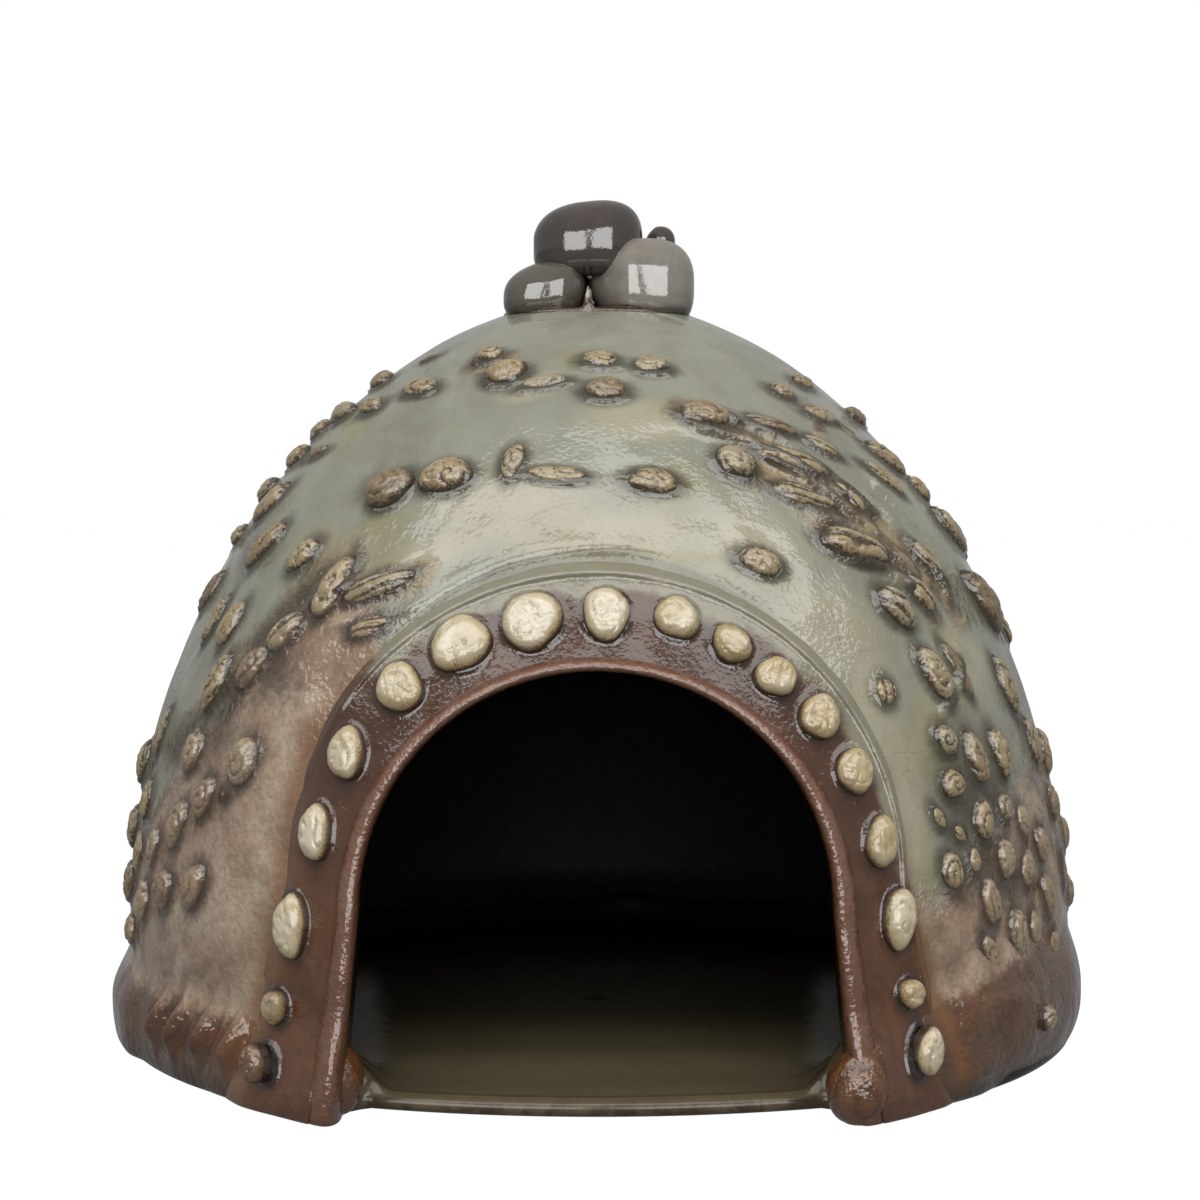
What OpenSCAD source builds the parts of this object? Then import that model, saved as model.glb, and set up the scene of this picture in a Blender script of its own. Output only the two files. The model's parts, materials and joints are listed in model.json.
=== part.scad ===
// Toad house: a hand-built, glazed stoneware dome that stands on a thin clay floor.
// Millimetres, +Z up. The origin is the centre of the underside of the floor slab,
// and the doorway faces -Y. Azimuths are in degrees from -Y towards +X.

/* [Floor] */
// Thickness of the floor slab
slab_t = 2.5; // [1.5:0.1:6]
// How far the slab reaches out past the wall all round
slab_lip = 1.5; // [0:0.1:3]
// Distance from the middle of the dome to the slab's front edge in the doorway
sill_y = 72.8; // [60:0.1:80]
// Radius of the slab's front edge in the doorway
sill_r = 97; // [80:1:200]
// Half width of the cut-back front edge
sill_half_w = 37; // [20:0.5:38]

/* [Dome wall] */
// Outer radius of the upright foot of the wall
wall_r = 86.5; // [70:0.5:120]
// Height of the upright foot of the wall
foot_h = 16; // [8:0.5:24]
// Height at which the dome's curve would close
dome_h = 134; // [110:0.5:180]
// Drop from there to the flat that the knob stands on
crown_drop = 3.5; // [2:0.1:5]
// Sharpness of the crown: 0.5 is an ellipse, and more is more pointed
crown_power = 0.55; // [0.5:0.01:0.7]
// Wall thickness
wall_t = 5; // [4:0.1:9]
// Clay left above the chamber, under the knob
roof_t = 6; // [4:0.1:12]

/* [Doorway] */
// Height of the opening
door_h = 70.4; // [55:0.1:72]
// Radius of the round head of the opening
door_r = 37; // [28:0.1:38]
// Half width of the opening at the floor
door_foot_w = 40; // [38:0.1:42]
// Width of the rolled bead at the top of the opening
bead_top_w = 2.4; // [1.5:0.1:5]
// Width of the rolled bead beside the round head
bead_side_w = 4; // [3:0.1:6]
// Width of the rolled bead at the floor
bead_foot_w = 5.5; // [4:0.1:8]
// How far the bead stands out from the wall
bead_proud = 3.2; // [2:0.1:5]
// Height of the bead's lower ends
bead_end_z = 10.5; // [8:0.1:13]
// Width of the flat band at the top of the opening
band_top_w = 14; // [12:0.1:16]
// Width of the flat band beside the round head
band_side_w = 8.5; // [7.5:0.1:11]
// Width of the flat band at the floor
band_foot_w = 12; // [9:0.1:15]
// How far the band stands out from the wall
band_proud = 1.8; // [0.8:0.1:2.5]
// Radius of the clay ball at each foot of the doorway
ball_r = 6.5; // [5:0.1:8]
// How far the middle of each ball lies outside the wall's face
ball_out = 2.3; // [1:0.1:4]
// How far the middle of each ball lies beside the opening's edge
ball_aside = 1.3; // [0:0.1:3]

/* [Foot roll] */
// How far the foot roll stands out from the wall
roll_proud = 3.5; // [2.5:0.1:6]
// Height of the foot roll above the slab
roll_h = 14; // [10:0.5:18]
// Height of the pressed pleats on the roll
pleat_l = 9; // [5:0.1:12]
// Width of each pleat
pleat_w = 4.4; // [2:0.1:5]
// How far each pleat stands out from the roll
pleat_proud = 1.2; // [0.5:0.1:2.5]
// Lean of the pleats
pleat_lean = 65; // [45:1:90]
// How far the smoothed pad stands out from the roll
pad_proud = 0.8; // [0.5:0.1:2]
// Angle that the smoothed pad covers
pad_angle = 12; // [5:1:14]

/* [Pebbles] */
// How far the doorway pebbles stand out from the band
door_pebble_proud = 2.6; // [1:0.1:4]
// Height of a wall pebble, as a share of its width
wall_pebble_rise = 0.34; // [0.2:0.01:0.5]
// Rows of pebbles on the back of the dome
back_rows = 8; // [3:1:8]
// Rise from each row on the back to the next
back_row_rise = 12; // [12:0.5:14]
// Angle between neighbours in the lowest row on the back
back_step = 14; // [14:1:30]
// Length of the pebbles on the back
back_pebble_l = 8.5; // [5:0.1:9.5]
// Width of the pebbles on the back
back_pebble_w = 5.5; // [3:0.1:6.5]

/* [Knob] */
// Radius of the clay pad that the knob's stones stand on
knob_pad_r = 17.4; // [14:0.1:20]
// Thickness of the clay pad
knob_pad_t = 1.8; // [1:0.1:4]
// Width of the stone on top
top_stone_w = 20.4; // [12:0.1:24]
// Height of the stone on top
top_stone_h = 12.6; // [8:0.1:18]
// Width of the lower stone on the left
left_stone_w = 15.4; // [10:0.1:17]
// Height of the lower stone on the left
left_stone_h = 11.6; // [8:0.1:16]
// Width of the lower stone on the right
right_stone_w = 19; // [12:0.1:20]
// Height of the lower stone on the right
right_stone_h = 14.6; // [8:0.1:16]
// Width of the lower stone behind
back_stone_w = 14; // [8:0.1:16]
// Height of the lower stone behind
back_stone_h = 11.5; // [8:0.1:16]
// Width of the small stone that is tucked in on the right
small_stone_w = 5.6; // [3:0.1:8]
// How deep the lower stones sink into the pad
stone_sink = 1.2; // [0.2:0.1:3]
// How deep the upper stones nest between the lower ones
stone_nest = 3.2; // [2:0.1:5]
// How far the lower stone on the right hangs over the pad's edge
right_overhang = 0.6; // [0:0.1:2]

/* [Hidden] */
$fn = 64;
seat_gap = 0.05;        // between a pebble's flat back and what it sits on
stone_gap = 0.1;        // between the knob's stones
round_half = 0.1;       // half the straight part of a nearly round pellet
notch_gap = 0.4;        // round the clay balls, in the slab
left_stone_y = -3;      // places of the knob's stones, forward or to the side of the middle
right_stone_y = -2;
back_stone_x = -1;
top_stone_x = -1.5;
small_stone_y = 6;
small_inset = 6;        // how far the small stone sits in from its neighbour's side
profile_steps = 16;     // straight lengths in the dome's curve
roll_steps = 10;        // straight lengths in the foot roll's round
beyond = 20;            // how far cutting shapes run past what they cut
eps = 0.01;
slab_r = wall_r + slab_lip;
crown_z = dome_h - crown_drop;
knob_z = crown_z + knob_pad_t;

// The band's outer edge, and the line along its middle
band_r = door_r + bead_side_w + band_side_w;
band_head_z = door_h + bead_top_w + band_top_w - band_r;
band_foot = door_foot_w + bead_foot_w + band_foot_w;
mid_r = band_r - band_side_w / 2;
mid_head_z = door_h + bead_top_w + band_top_w / 2 - mid_r;
mid_foot = band_foot - band_foot_w / 2;
band_azimuth = asin(band_foot / wall_r);

// Place round the doorway, place out from the band's middle, width, height and turn of each
// doorway pebble. The top of the doorway is 0, the ends of its round head are 90, and the
// floor is 180.
door_pebbles = [
    [-159, 2, 5.4, 6.2, 0], [-136, 2, 4.6, 5.8, 0], [-102, 2, 6, 10.5, 5],
    [-77, 0, 6, 9, 8], [-60, 0, 6.4, 8.8, 15], [-43, 0, 8, 8.4, 20], [-28, 0, 9.8, 9.6, 5],
    [-13, -0.5, 10, 9.6, 0], [2, -0.5, 7.8, 8.8, 0], [16, 0.5, 7.2, 7.2, -10],
    [28, 0, 7, 6, -35], [39, -0.5, 7, 6.6, -30], [51, 0, 6.6, 7.8, -30],
    [64, 0, 6.4, 7.6, -20], [79, 0.5, 6, 8.2, -12], [99, 2, 6, 9.8, -5],
    [130, 1.5, 4.8, 4.8, 0], [154, 1.5, 5.2, 8, -3]];
DOOR_PEBBLES = [for (i = [1 : len(door_pebbles)]) str("door_pebble_", i < 10 ? "0" : "", i)];

// Turn from the band's foot to each pleat, the pad and the pellet beside it
pleat_turns = [15.4, 10.9, 5.4, 0];
pad_turn = 0.8;
roll_pebble_turn = 16.3;
roll_pebble = [4.6, 3.6, 80];               // length, width and lean

// The wall radius, dome height and doorway height that the places and sizes of the wall
// pellets are given for
plan = [86.5, 134, 70.4];
pellet_scale = min(wall_r / plan[0], dome_h / plan[1]);
pellet_gap = 0.3;       // between a pellet and the band
pellet_follow = 40;     // pellets nearer the doorway than this move with its top

// Groups of wall pellets: azimuth, height, length, width and turn of each
crown = [[-22, 118, 7.5, 6, 10], [-31, 121.5, 5.2, 4, 10], [1, 120.5, 6.5, 4.2, -5],
    [2, 115.2, 7.2, 5.2, 0], [14, 119.5, 6.5, 4.2, -8], [-12, 116.5, 8, 3, 15]];
crown_left = [[-45, 116, 8.5, 4.3, 5], [-58, 122, 3.4, 2, 20], [-73, 118, 8, 5, 0],
    [-73, 112, 9, 5.6, 5], [-58, 113, 6, 4.4, 10], [-86, 109, 8, 5.5, 0],
    [-76, 104, 8.5, 5.4, 10], [-64, 105, 6, 3, 15]];
crown_right = [[47, 115.5, 5, 3.4, -20], [54, 111.5, 9, 3.6, -15], [63, 117.5, 6.5, 4, 0],
    [76, 111.5, 9, 5, 0]];
brow_left = [[-35, 98.5, 9, 7.6, 30], [-25, 100.5, 9.4, 7, 5], [-14, 103, 7.2, 3.8, 88],
    [-6.5, 101, 9.5, 3.2, -5]];
brow_right = [[9, 100, 8.5, 5, -12], [22, 111, 10, 5.2, -8], [24, 103, 7.2, 6.2, -60],
    [23, 87, 8, 5, -15]];
leaf_folds = [[36, 109.5, 10, 3.4, -20], [36, 103.5, 14, 4.4, -20], [34.5, 97.5, 12, 4, -20],
    [40, 89, 14, 6.4, -18], [46, 106, 8, 3, -35], [45, 97.5, 7.5, 3.8, -55]];
shoulder_left = [[-47, 87.5, 7.5, 5, 50], [-38, 82.5, 12, 5.5, 70], [-59, 89, 11, 5.4, 60],
    [-68, 96, 11, 5, 50], [-78, 90, 6, 4.6, 20], [-82, 98, 9, 5.6, 10]];
garland_left = [[-30.5, 83, 13, 4.2, 25], [-30, 76.5, 7.5, 3.6, 14], [-44, 75, 8.4, 5.4, 50],
    [-48.5, 69, 8.4, 5.4, 60]];
flank_left_high = [[-58, 75.5, 10, 4.8, 65], [-64.5, 76, 10, 4, 65], [-56, 66, 11, 5, 68],
    [-74, 80, 9, 4.4, 70]];
flank_left_mid = [[-57, 54.5, 8, 5.2, 80], [-45, 54, 8.6, 6.4, 72], [-51.5, 47.5, 7.6, 5, 75],
    [-47.5, 48.5, 2, 1.8, 0], [-57, 42, 9, 5.4, 75]];
flank_left_low = [[-58, 31, 7.6, 5.6, 75], [-51, 33, 8, 5.4, 70], [-65, 27.5, 8, 5, 80],
    [-70.5, 56, 10, 4, 75], [-77, 49.5, 9, 5, 80], [-70, 44, 8, 4, 80], [-63.5, 37, 7, 4, 75],
    [-70, 35, 7.5, 3.8, 80], [-77, 38, 8, 5, 85], [-75, 28.5, 8, 5, 85], [-71, 21, 6, 4.4, 85]];
shoulder_right_high = [[67, 104, 12, 5, -40], [59, 100.5, 11, 3.4, -42], [74, 98.5, 7, 4.8, -45],
    [76, 91, 12, 5.6, -55], [70, 78.5, 13, 7.6, -62]];
shoulder_right = [[43.5, 79, 8.8, 6, -50], [50, 81, 8.4, 4.6, -58], [56, 86.5, 10, 4.4, -60],
    [37, 66, 4.6, 4, 80]];
flank_right_high = [[46.5, 68, 11, 5.8, -70], [52, 68.5, 10.5, 3.4, -70], [64.5, 64.5, 11, 4.8, -74],
    [69, 54.5, 10, 4.8, -76]];
paw_right = [[45, 57.5, 5.4, 4.8, -60], [50, 54, 9, 5.4, -80], [56, 54, 9, 5.2, -78],
    [44.5, 50.5, 5.2, 5, 0], [49, 44.2, 7.2, 5.2, -85], [54.5, 45.4, 5, 4, -80],
    [41.5, 45.5, 4.4, 2.4, -60], [44.5, 42.6, 3.6, 2.4, -45]];
flank_right_mid = [[42.5, 37, 6.8, 4.8, -75], [46.6, 38, 4.6, 3, -85], [53, 37.2, 7, 4.8, -85],
    [49, 30.8, 8.6, 4.6, -72], [59, 42.5, 6, 4, -80], [58.5, 34.5, 6.4, 4.2, 80]];
flank_right_low = [[64, 37.5, 7, 4.8, -80], [64.5, 28.5, 8.6, 5, -85], [54.5, 24.5, 9, 5, -85],
    [59.5, 24, 6.4, 3.6, -80], [66, 20, 6, 4.2, -75], [48.5, 22.5, 7.6, 3.6, -60]];
edge_right = [[73, 43, 7, 4.6, -80], [80, 36, 8, 5, -80], [76, 51, 8, 5, -85],
    [73, 31, 8, 4.6, -82], [82, 25, 7, 5, -85]];

// The back repeats one loose rule from flank to flank, with some places left bare
back_low_z = 25;        // height of the lowest row
back_first = 88;        // azimuth of its first pellet
back_last = 266;        // azimuth that no row passes
back_loose = 18;        // added to each row's radius, so that fewer pellets share it
back_sway = 1.5;        // how far a pellet wanders round the dome, in degrees
back_lift = 2;          // how far it wanders up or down
back_l_spread = 0.15;   // share of its length that varies
back_w_spread = 0.12;   // share of its width that varies
back_bare = 0.8;        // above this the place is left bare
back_turn = 70;         // usual turn
back_turn_spread = 35;  // how far the turn varies
function wander(a, i, n) = sin(a * n + i * 131);
function back_row(i) = let(z = back_low_z + i * back_row_rise)
    [for (a = [back_first + (i % 2) * back_step / 2
        : back_step * wall_r / (dome_r(z) + back_loose) : back_last])
        let(k = wander(a, i, 47), m = wander(a, i, 83), bare = wander(a, i, 29))
        if (bare < back_bare)
            [a + back_sway * m, z + back_lift * k,
                back_pebble_l * (1 - back_l_spread + back_l_spread * m),
                back_pebble_w * (1 - back_w_spread + back_w_spread * k),
                back_turn + back_turn_spread * bare]];

WALL_NAMES = ["crown", "crown_left", "crown_right", "brow_left", "brow_right", "leaf_folds",
    "shoulder_left", "garland_left", "flank_left_high", "flank_left_mid", "flank_left_low",
    "shoulder_right_high", "shoulder_right", "flank_right_high", "paw_right",
    "flank_right_mid", "flank_right_low", "edge_right"];
WALL_GROUPS = [crown, crown_left, crown_right, brow_left, brow_right, leaf_folds,
    shoulder_left, garland_left, flank_left_high, flank_left_mid, flank_left_low,
    shoulder_right_high, shoulder_right, flank_right_high, paw_right,
    flank_right_mid, flank_right_low, edge_right];
BACK_NAMES = ["back_low", "back_middle", "back_high", "back_top"];
BACK_GROUPS = [
    [for (i = [0 : 1 : min(1, back_rows - 1)]) each back_row(i)],
    [for (i = [2 : 1 : min(3, back_rows - 1)]) each back_row(i)],
    [for (i = [4 : 1 : min(5, back_rows - 1)]) each back_row(i)],
    [for (i = [6 : 1 : back_rows - 1]) each back_row(i)]];

// ---- The dome's curve ----

// Share of the curved part's height at height z
function rise(z, out = 0) = max(0, z - foot_h) / (dome_h + out - foot_h);
// Radius at height z of the wall's face, moved out by out
function dome_r(z, out = 0) = (wall_r + out) * pow(1 - pow(rise(z, out), 2), crown_power);
// How far the wall's outward direction points up at height z, in degrees
function dome_lean(z, out = 0) = atan(2 * crown_power * (wall_r + out) * rise(z, out)
    / (dome_h + out - foot_h) * pow(1 - pow(rise(z, out), 2), crown_power - 1));
// Radius of the chamber at height z
function chamber_r(z) = (wall_r - wall_t)
    * pow(1 - pow(max(0, z - foot_h) / (crown_z - roof_t - foot_h), 2), crown_power);

// Half outline of the dome, moved out by out, from z = low up to z = high
module dome_outline(low, high, out = 0) {
    polygon(concat([[0, low], [wall_r + out, low]],
        [for (i = [0 : profile_steps])
            let(z = foot_h + (high - foot_h) * sin(90 * i / profile_steps))
            [dome_r(z, out), z]],
        [[0, high]]));
}

module chamber_outline() {
    top = crown_z - roof_t;
    polygon(concat([[0, slab_t - eps], [wall_r - wall_t, slab_t - eps]],
        [for (i = [0 : profile_steps - 1])
            let(z = foot_h + (top - foot_h) * sin(90 * i / profile_steps))
            [chamber_r(z), z]],
        [[0, top]]));
}

// Skin that lies on the wall and is out thick
module wall_skin(out, low) {
    rotate_extrude()
        difference() {
            dome_outline(low, crown_z, out);
            dome_outline(low - beyond, crown_z);
        }
}

// ---- The doorway's arches ----

// A round head on slightly splayed legs, standing on z = 0
module arch_outline(top, head_r, foot_w) {
    head_z = top - head_r;
    translate([0, head_z]) circle(r = head_r);
    polygon([[-head_r, head_z], [-foot_w, 0], [foot_w, 0], [head_r, head_z]]);
}

module door_arch() arch_outline(door_h, door_r, door_foot_w);
module bead_arch() arch_outline(door_h + bead_top_w, door_r + bead_side_w,
    door_foot_w + bead_foot_w);
module band_arch() arch_outline(door_h + bead_top_w + band_top_w,
    door_r + bead_side_w + band_side_w, door_foot_w + bead_foot_w + band_foot_w);

// Runs an upright outline from the middle of the dome out through its front
module through_front() {
    rotate([90, 0, 0]) linear_extrude(height = wall_r + beyond) children();
}

// ---- Places on the wall ----

// Puts its children on the wall at an azimuth and height: X lies along the wall, Y up it
// and Z straight out of it
module on_wall(azimuth, z, out = 0) {
    r = dome_r(z, out);
    rotate([0, 0, azimuth])
        translate([0, -r, z])
            rotate([90 - dome_lean(z, out), 0, 0])
                children();
}

// The room above a pebble's flat back
module over_seat(reach) {
    translate([-reach, -reach, 0]) cube(2 * reach);
}

// An oval pebble with a flat back, lying in X and Y
module pebble(length, width, proud, turn) {
    rotate([0, 0, turn])
        translate([0, 0, seat_gap])
            intersection() {
                scale([length / 2, width / 2, proud]) sphere(r = 1);
                over_seat(length);
            }
}

// A pellet of clay pressed flat behind: the top of a round-ended roll, lying in X and Y
module pellet(length, width, proud, turn) {
    bend = (pow(width / 2, 2) + pow(proud, 2)) / (2 * proud);
    half = max(round_half, (length - width) / 2);
    rotate([0, 0, turn])
        translate([0, 0, seat_gap])
            intersection() {
                translate([0, 0, proud - bend])
                    rotate([0, 90, 0])
                        rotate_extrude()
                            intersection() {
                                union() {
                                    translate([0, half]) circle(r = bend);
                                    translate([0, -half]) circle(r = bend);
                                    translate([0, -half]) square([bend, 2 * half]);
                                }
                                translate([0, -half - bend])
                                    square([bend, 2 * (half + bend)]);
                            }
                over_seat(length + 2 * half);
            }
}

// How far a pellet reaches from its middle in direction d
function reach(p, d) = pellet_scale / 2
    * norm([p[2] * cos(d - p[4]), p[3] * sin(d - p[4])]);

// How closely a pellet follows the doorway's top: 1 at the band and 0 far from it
function follow(z, x, front) = front < 0 ? 0 : min(1, z / band_head_z)
    * (1 - min(1, max(0, norm([x, max(0, z - band_head_z + door_h - plan[2])]) - band_r)
        / pellet_follow));

// A pellet's azimuth and height: it moves with the doorway's top, and straight off the band
// if it would lie on it
function pellet_place(p) =
    let(plan_z = p[1] * dome_h / plan[1],
        z = plan_z + (door_h - plan[2])
            * follow(plan_z, dome_r(plan_z) * sin(p[0]), cos(p[0])),
        x = dome_r(z) * sin(p[0]),
        above = z > band_head_z,
        d = above ? atan2(z - band_head_z, x) : x < 0 ? 180 : 0,
        far = above ? norm([x, z - band_head_z]) : abs(x),
        edge = above ? band_r : band_r + (band_foot - band_r) * (1 - z / band_head_z),
        push = cos(p[0]) < 0 ? 0 : max(0, edge + reach(p, d) + pellet_gap - far),
        new_z = z + push * sin(d))
    push == 0 ? [p[0], z]
        : [asin(max(-1, min(1, (x + push * cos(d)) / dome_r(new_z)))), new_z];

module wall_pebbles(group) {
    color([0.55, 0.49, 0.39])
        for (p = group)
            let(at = pellet_place(p), width = p[3] * pellet_scale)
                on_wall(at[0], at[1])
                    pellet(p[2] * pellet_scale, width, width * wall_pebble_rise, p[4]);
}

// ---- Floor, wall and foot roll ----

module ball_place(side) {
    azimuth = asin((door_foot_w + ball_aside) / (wall_r + ball_out));
    rotate([0, 0, side * azimuth]) translate([0, -wall_r - ball_out, ball_r]) children();
}

module floor_slab() {
    color([0.42, 0.36, 0.29])
        difference() {
            cylinder(r = slab_r, h = slab_t);
            difference() {
                translate([-sill_half_w, -slab_r - beyond, -beyond / 2])
                    cube([2 * sill_half_w, slab_r, slab_t + beyond]);
                translate([0, sill_r - sill_y, -beyond])
                    cylinder(r = sill_r, h = slab_t + 2 * beyond);
            }
            for (side = [-1, 1])
                ball_place(side)
                    translate([0, 0, -ball_r - beyond / 2])
                        cylinder(r = ball_r + notch_gap, h = slab_t + beyond);
        }
}

module dome_shell() {
    color([0.60, 0.62, 0.56])
        difference() {
            rotate_extrude()
                difference() {
                    dome_outline(slab_t, crown_z);
                    chamber_outline();
                }
            through_front() door_arch();
        }
}

// Round outline of the foot roll, with its back against the wall
module roll_outline(out = 0) {
    half = roll_h / 2 + out;
    polygon([for (i = [0 : roll_steps])
        let(a = -90 + 180 * i / roll_steps)
        [wall_r + (roll_proud + out) * cos(a), slab_t + roll_h / 2 + half * sin(a)]]);
}

module foot_roll() {
    color([0.36, 0.24, 0.19])
        difference() {
            rotate_extrude() roll_outline();
            through_front() band_arch();
        }
}

module on_roll(azimuth) {
    rotate([0, 0, azimuth])
        translate([0, -wall_r - roll_proud, slab_t + roll_h / 2])
            rotate([90, 0, 0])
                children();
}

module roll_pleat(i) {
    color([0.38, 0.26, 0.20])
        on_roll(-band_azimuth - pleat_turns[i])
            pebble(pleat_l, pleat_w, pleat_proud, pleat_lean);
}

module roll_pad() {
    color([0.40, 0.27, 0.20])
        rotate([0, 0, band_azimuth + pad_turn - 90])
            rotate_extrude(angle = pad_angle)
                difference() {
                    roll_outline(pad_proud);
                    roll_outline();
                    square([wall_r + roll_proud / 2, slab_t + roll_h + beyond]);
                    square([wall_r + beyond, slab_t]);
                }
}

module roll_pebble() {
    color([0.52, 0.42, 0.32])
        on_roll(band_azimuth + roll_pebble_turn)
            pellet(roll_pebble[0], roll_pebble[1], roll_pebble[1] * wall_pebble_rise,
                roll_pebble[2]);
}

// ---- Doorway trim ----

module door_band() {
    color([0.33, 0.22, 0.18])
        intersection() {
            wall_skin(band_proud, slab_t);
            through_front()
                difference() {
                    band_arch();
                    bead_arch();
                }
        }
}

module door_bead() {
    color([0.48, 0.32, 0.27])
        intersection() {
            wall_skin(bead_proud, bead_end_z);
            through_front()
                difference() {
                    bead_arch();
                    door_arch();
                }
        }
}

module ball(side) {
    color([0.40, 0.25, 0.18])
        difference() {
            ball_place(side) sphere(r = ball_r);
            difference() {
                cylinder(r = wall_r, h = foot_h);
                through_front() door_arch();
            }
            door_bead();
            door_band();
        }
}

// Place across and up, at a turn t round the doorway and out from the band's middle
function on_band(t, out) = let(leg = (abs(t) - 90) / 90)
    leg <= 0 ? [(mid_r + out) * sin(t), mid_head_z + (mid_r + out) * cos(t)]
        : [sign(t) * (mid_r + (mid_foot - mid_r) * leg + out), mid_head_z * (1 - leg)];

module door_pebble(i) {
    p = door_pebbles[i];
    at = on_band(p[0], p[1]);
    color([0.86, 0.82, 0.70])
        on_wall(asin(at[0] / dome_r(at[1], band_proud)), at[1], band_proud)
            pebble(p[2], p[3], door_pebble_proud, p[4]);
}

// ---- Knob ----

module knob_pad() {
    color([0.25, 0.21, 0.19])
        translate([0, 0, crown_z]) cylinder(r = knob_pad_r, h = knob_pad_t);
}

// A smooth round stone, swollen by gap, whose lowest point is at a place over the pad
module stone(width, height, place, gap = 0) {
    translate([place[0], place[1], knob_z + place[2] + height / 2])
        rotate_extrude()
            intersection() {
                scale([width / 2 + gap, height / 2 + gap]) circle(r = 1);
                translate([0, -height]) square([width, 2 * height]);
            }
}

// Where each stone's lowest point lies: across, back, and up from the pad
left_place = [left_stone_w / 2 - knob_pad_r, left_stone_y, -stone_sink];
right_place = [knob_pad_r - right_stone_w / 2 + right_overhang, right_stone_y, -stone_sink];
back_place = [back_stone_x, knob_pad_r - back_stone_w / 2, -stone_sink];
top_place = [top_stone_x, 0, min(left_stone_h, right_stone_h) - stone_nest];
small_place = [right_place[0] + right_stone_w / 2 - small_inset, small_stone_y,
    right_stone_h - stone_sink - stone_nest];

module left_one(gap = 0) stone(left_stone_w, left_stone_h, left_place, gap);
module right_one(gap = 0) stone(right_stone_w, right_stone_h, right_place, gap);
module back_one(gap = 0) stone(back_stone_w, back_stone_h, back_place, gap);
module top_one(gap = 0) stone(top_stone_w, top_stone_h, top_place, gap);

module under_stones() {
    translate([-2 * knob_pad_r, -2 * knob_pad_r, knob_z - 2 * knob_pad_r])
        cube([4 * knob_pad_r, 4 * knob_pad_r, 2 * knob_pad_r]);
}

module knob_right() {
    color([0.55, 0.52, 0.49])
        difference() {
            right_one();
            under_stones();
        }
}

module knob_left() {
    color([0.36, 0.34, 0.30])
        difference() {
            left_one();
            right_one(stone_gap);
            under_stones();
        }
}

module knob_back() {
    color([0.33, 0.30, 0.27])
        difference() {
            back_one();
            right_one(stone_gap);
            left_one(stone_gap);
            under_stones();
        }
}

module knob_top() {
    color([0.29, 0.25, 0.22])
        difference() {
            top_one();
            right_one(stone_gap);
            left_one(stone_gap);
            back_one(stone_gap);
        }
}

module knob_small() {
    color([0.27, 0.27, 0.22])
        difference() {
            stone(small_stone_w, small_stone_w, small_place);
            right_one(stone_gap);
            top_one(stone_gap);
            back_one(stone_gap);
        }
}

// ---- Every piece under its own name ----

floor_slab();
dome_shell();
foot_roll();
roll_pleat(0);  // roll_pleat_1
roll_pleat(1);  // roll_pleat_2
roll_pleat(2);  // roll_pleat_3
roll_pleat(3);  // roll_pleat_4
roll_pad();
roll_pebble();
ball(-1);  // ball_left
ball(1);  // ball_right
door_band();
door_bead();
knob_pad();
knob_top();
knob_left();
knob_right();
knob_back();
knob_small();
for (i = [0 : len(door_pebbles) - 1])
    door_pebble(i);
for (i = [0 : len(WALL_NAMES) - 1])
    wall_pebbles(WALL_GROUPS[i]);
for (i = [0 : len(BACK_NAMES) - 1])
    wall_pebbles(BACK_GROUPS[i]);
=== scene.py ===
"""Dresses the toad house: a hand-built, glazed stoneware dome with a doorway, pressed pellets
and a knob of stacked stones. Lengths are in metres, +Z is up and the doorway faces -Y."""

import json
import math

import bpy
import numpy as np
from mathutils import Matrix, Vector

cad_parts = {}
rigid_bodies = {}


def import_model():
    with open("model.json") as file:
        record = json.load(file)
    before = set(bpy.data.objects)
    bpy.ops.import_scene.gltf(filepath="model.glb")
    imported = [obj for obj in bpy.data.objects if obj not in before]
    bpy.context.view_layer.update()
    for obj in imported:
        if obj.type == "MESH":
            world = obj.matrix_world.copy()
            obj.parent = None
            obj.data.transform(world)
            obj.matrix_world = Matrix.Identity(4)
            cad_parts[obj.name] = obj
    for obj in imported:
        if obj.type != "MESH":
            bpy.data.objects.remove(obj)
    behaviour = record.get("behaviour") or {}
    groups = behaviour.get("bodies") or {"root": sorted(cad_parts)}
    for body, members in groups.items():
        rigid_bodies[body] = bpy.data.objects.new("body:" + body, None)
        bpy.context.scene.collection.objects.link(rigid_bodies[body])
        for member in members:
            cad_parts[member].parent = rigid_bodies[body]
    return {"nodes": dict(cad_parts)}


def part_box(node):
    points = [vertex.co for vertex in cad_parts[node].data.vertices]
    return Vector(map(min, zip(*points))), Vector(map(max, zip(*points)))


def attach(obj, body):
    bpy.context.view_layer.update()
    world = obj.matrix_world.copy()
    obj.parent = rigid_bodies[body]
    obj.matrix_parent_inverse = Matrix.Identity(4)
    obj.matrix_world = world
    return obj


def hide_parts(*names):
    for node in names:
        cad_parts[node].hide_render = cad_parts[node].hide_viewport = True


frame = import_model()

bl_info = {
    "name": "Toad House",
    "version": (1, 0, 0),
    "blender": (4, 5, 0),
    "location": "3D View > Sidebar > Toad House",
    "description": "Glazed stoneware toad house, built piece by piece",
    "category": "Object",
}


def paint(red, green, blue):
    """A colour given as it looks on screen, 0 to 255, turned into linear light by the sRGB
    curve."""
    share = np.array([red, green, blue]) / 255
    return tuple(np.where(share < 0.04045, share / 12.92, ((share + 0.055) / 1.055) ** 2.4))


def length(name, description, default):
    """A length that a user may change, in metres."""
    return bpy.props.FloatProperty(
        name=name, description=description, default=default, min=0.0, unit="LENGTH",
        precision=5)


def colour(name, description, default):
    """A colour that a user may change."""
    return bpy.props.FloatVectorProperty(
        name=name, description=description, default=default, size=3, min=0.0, max=1.0,
        subtype="COLOR")


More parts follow.
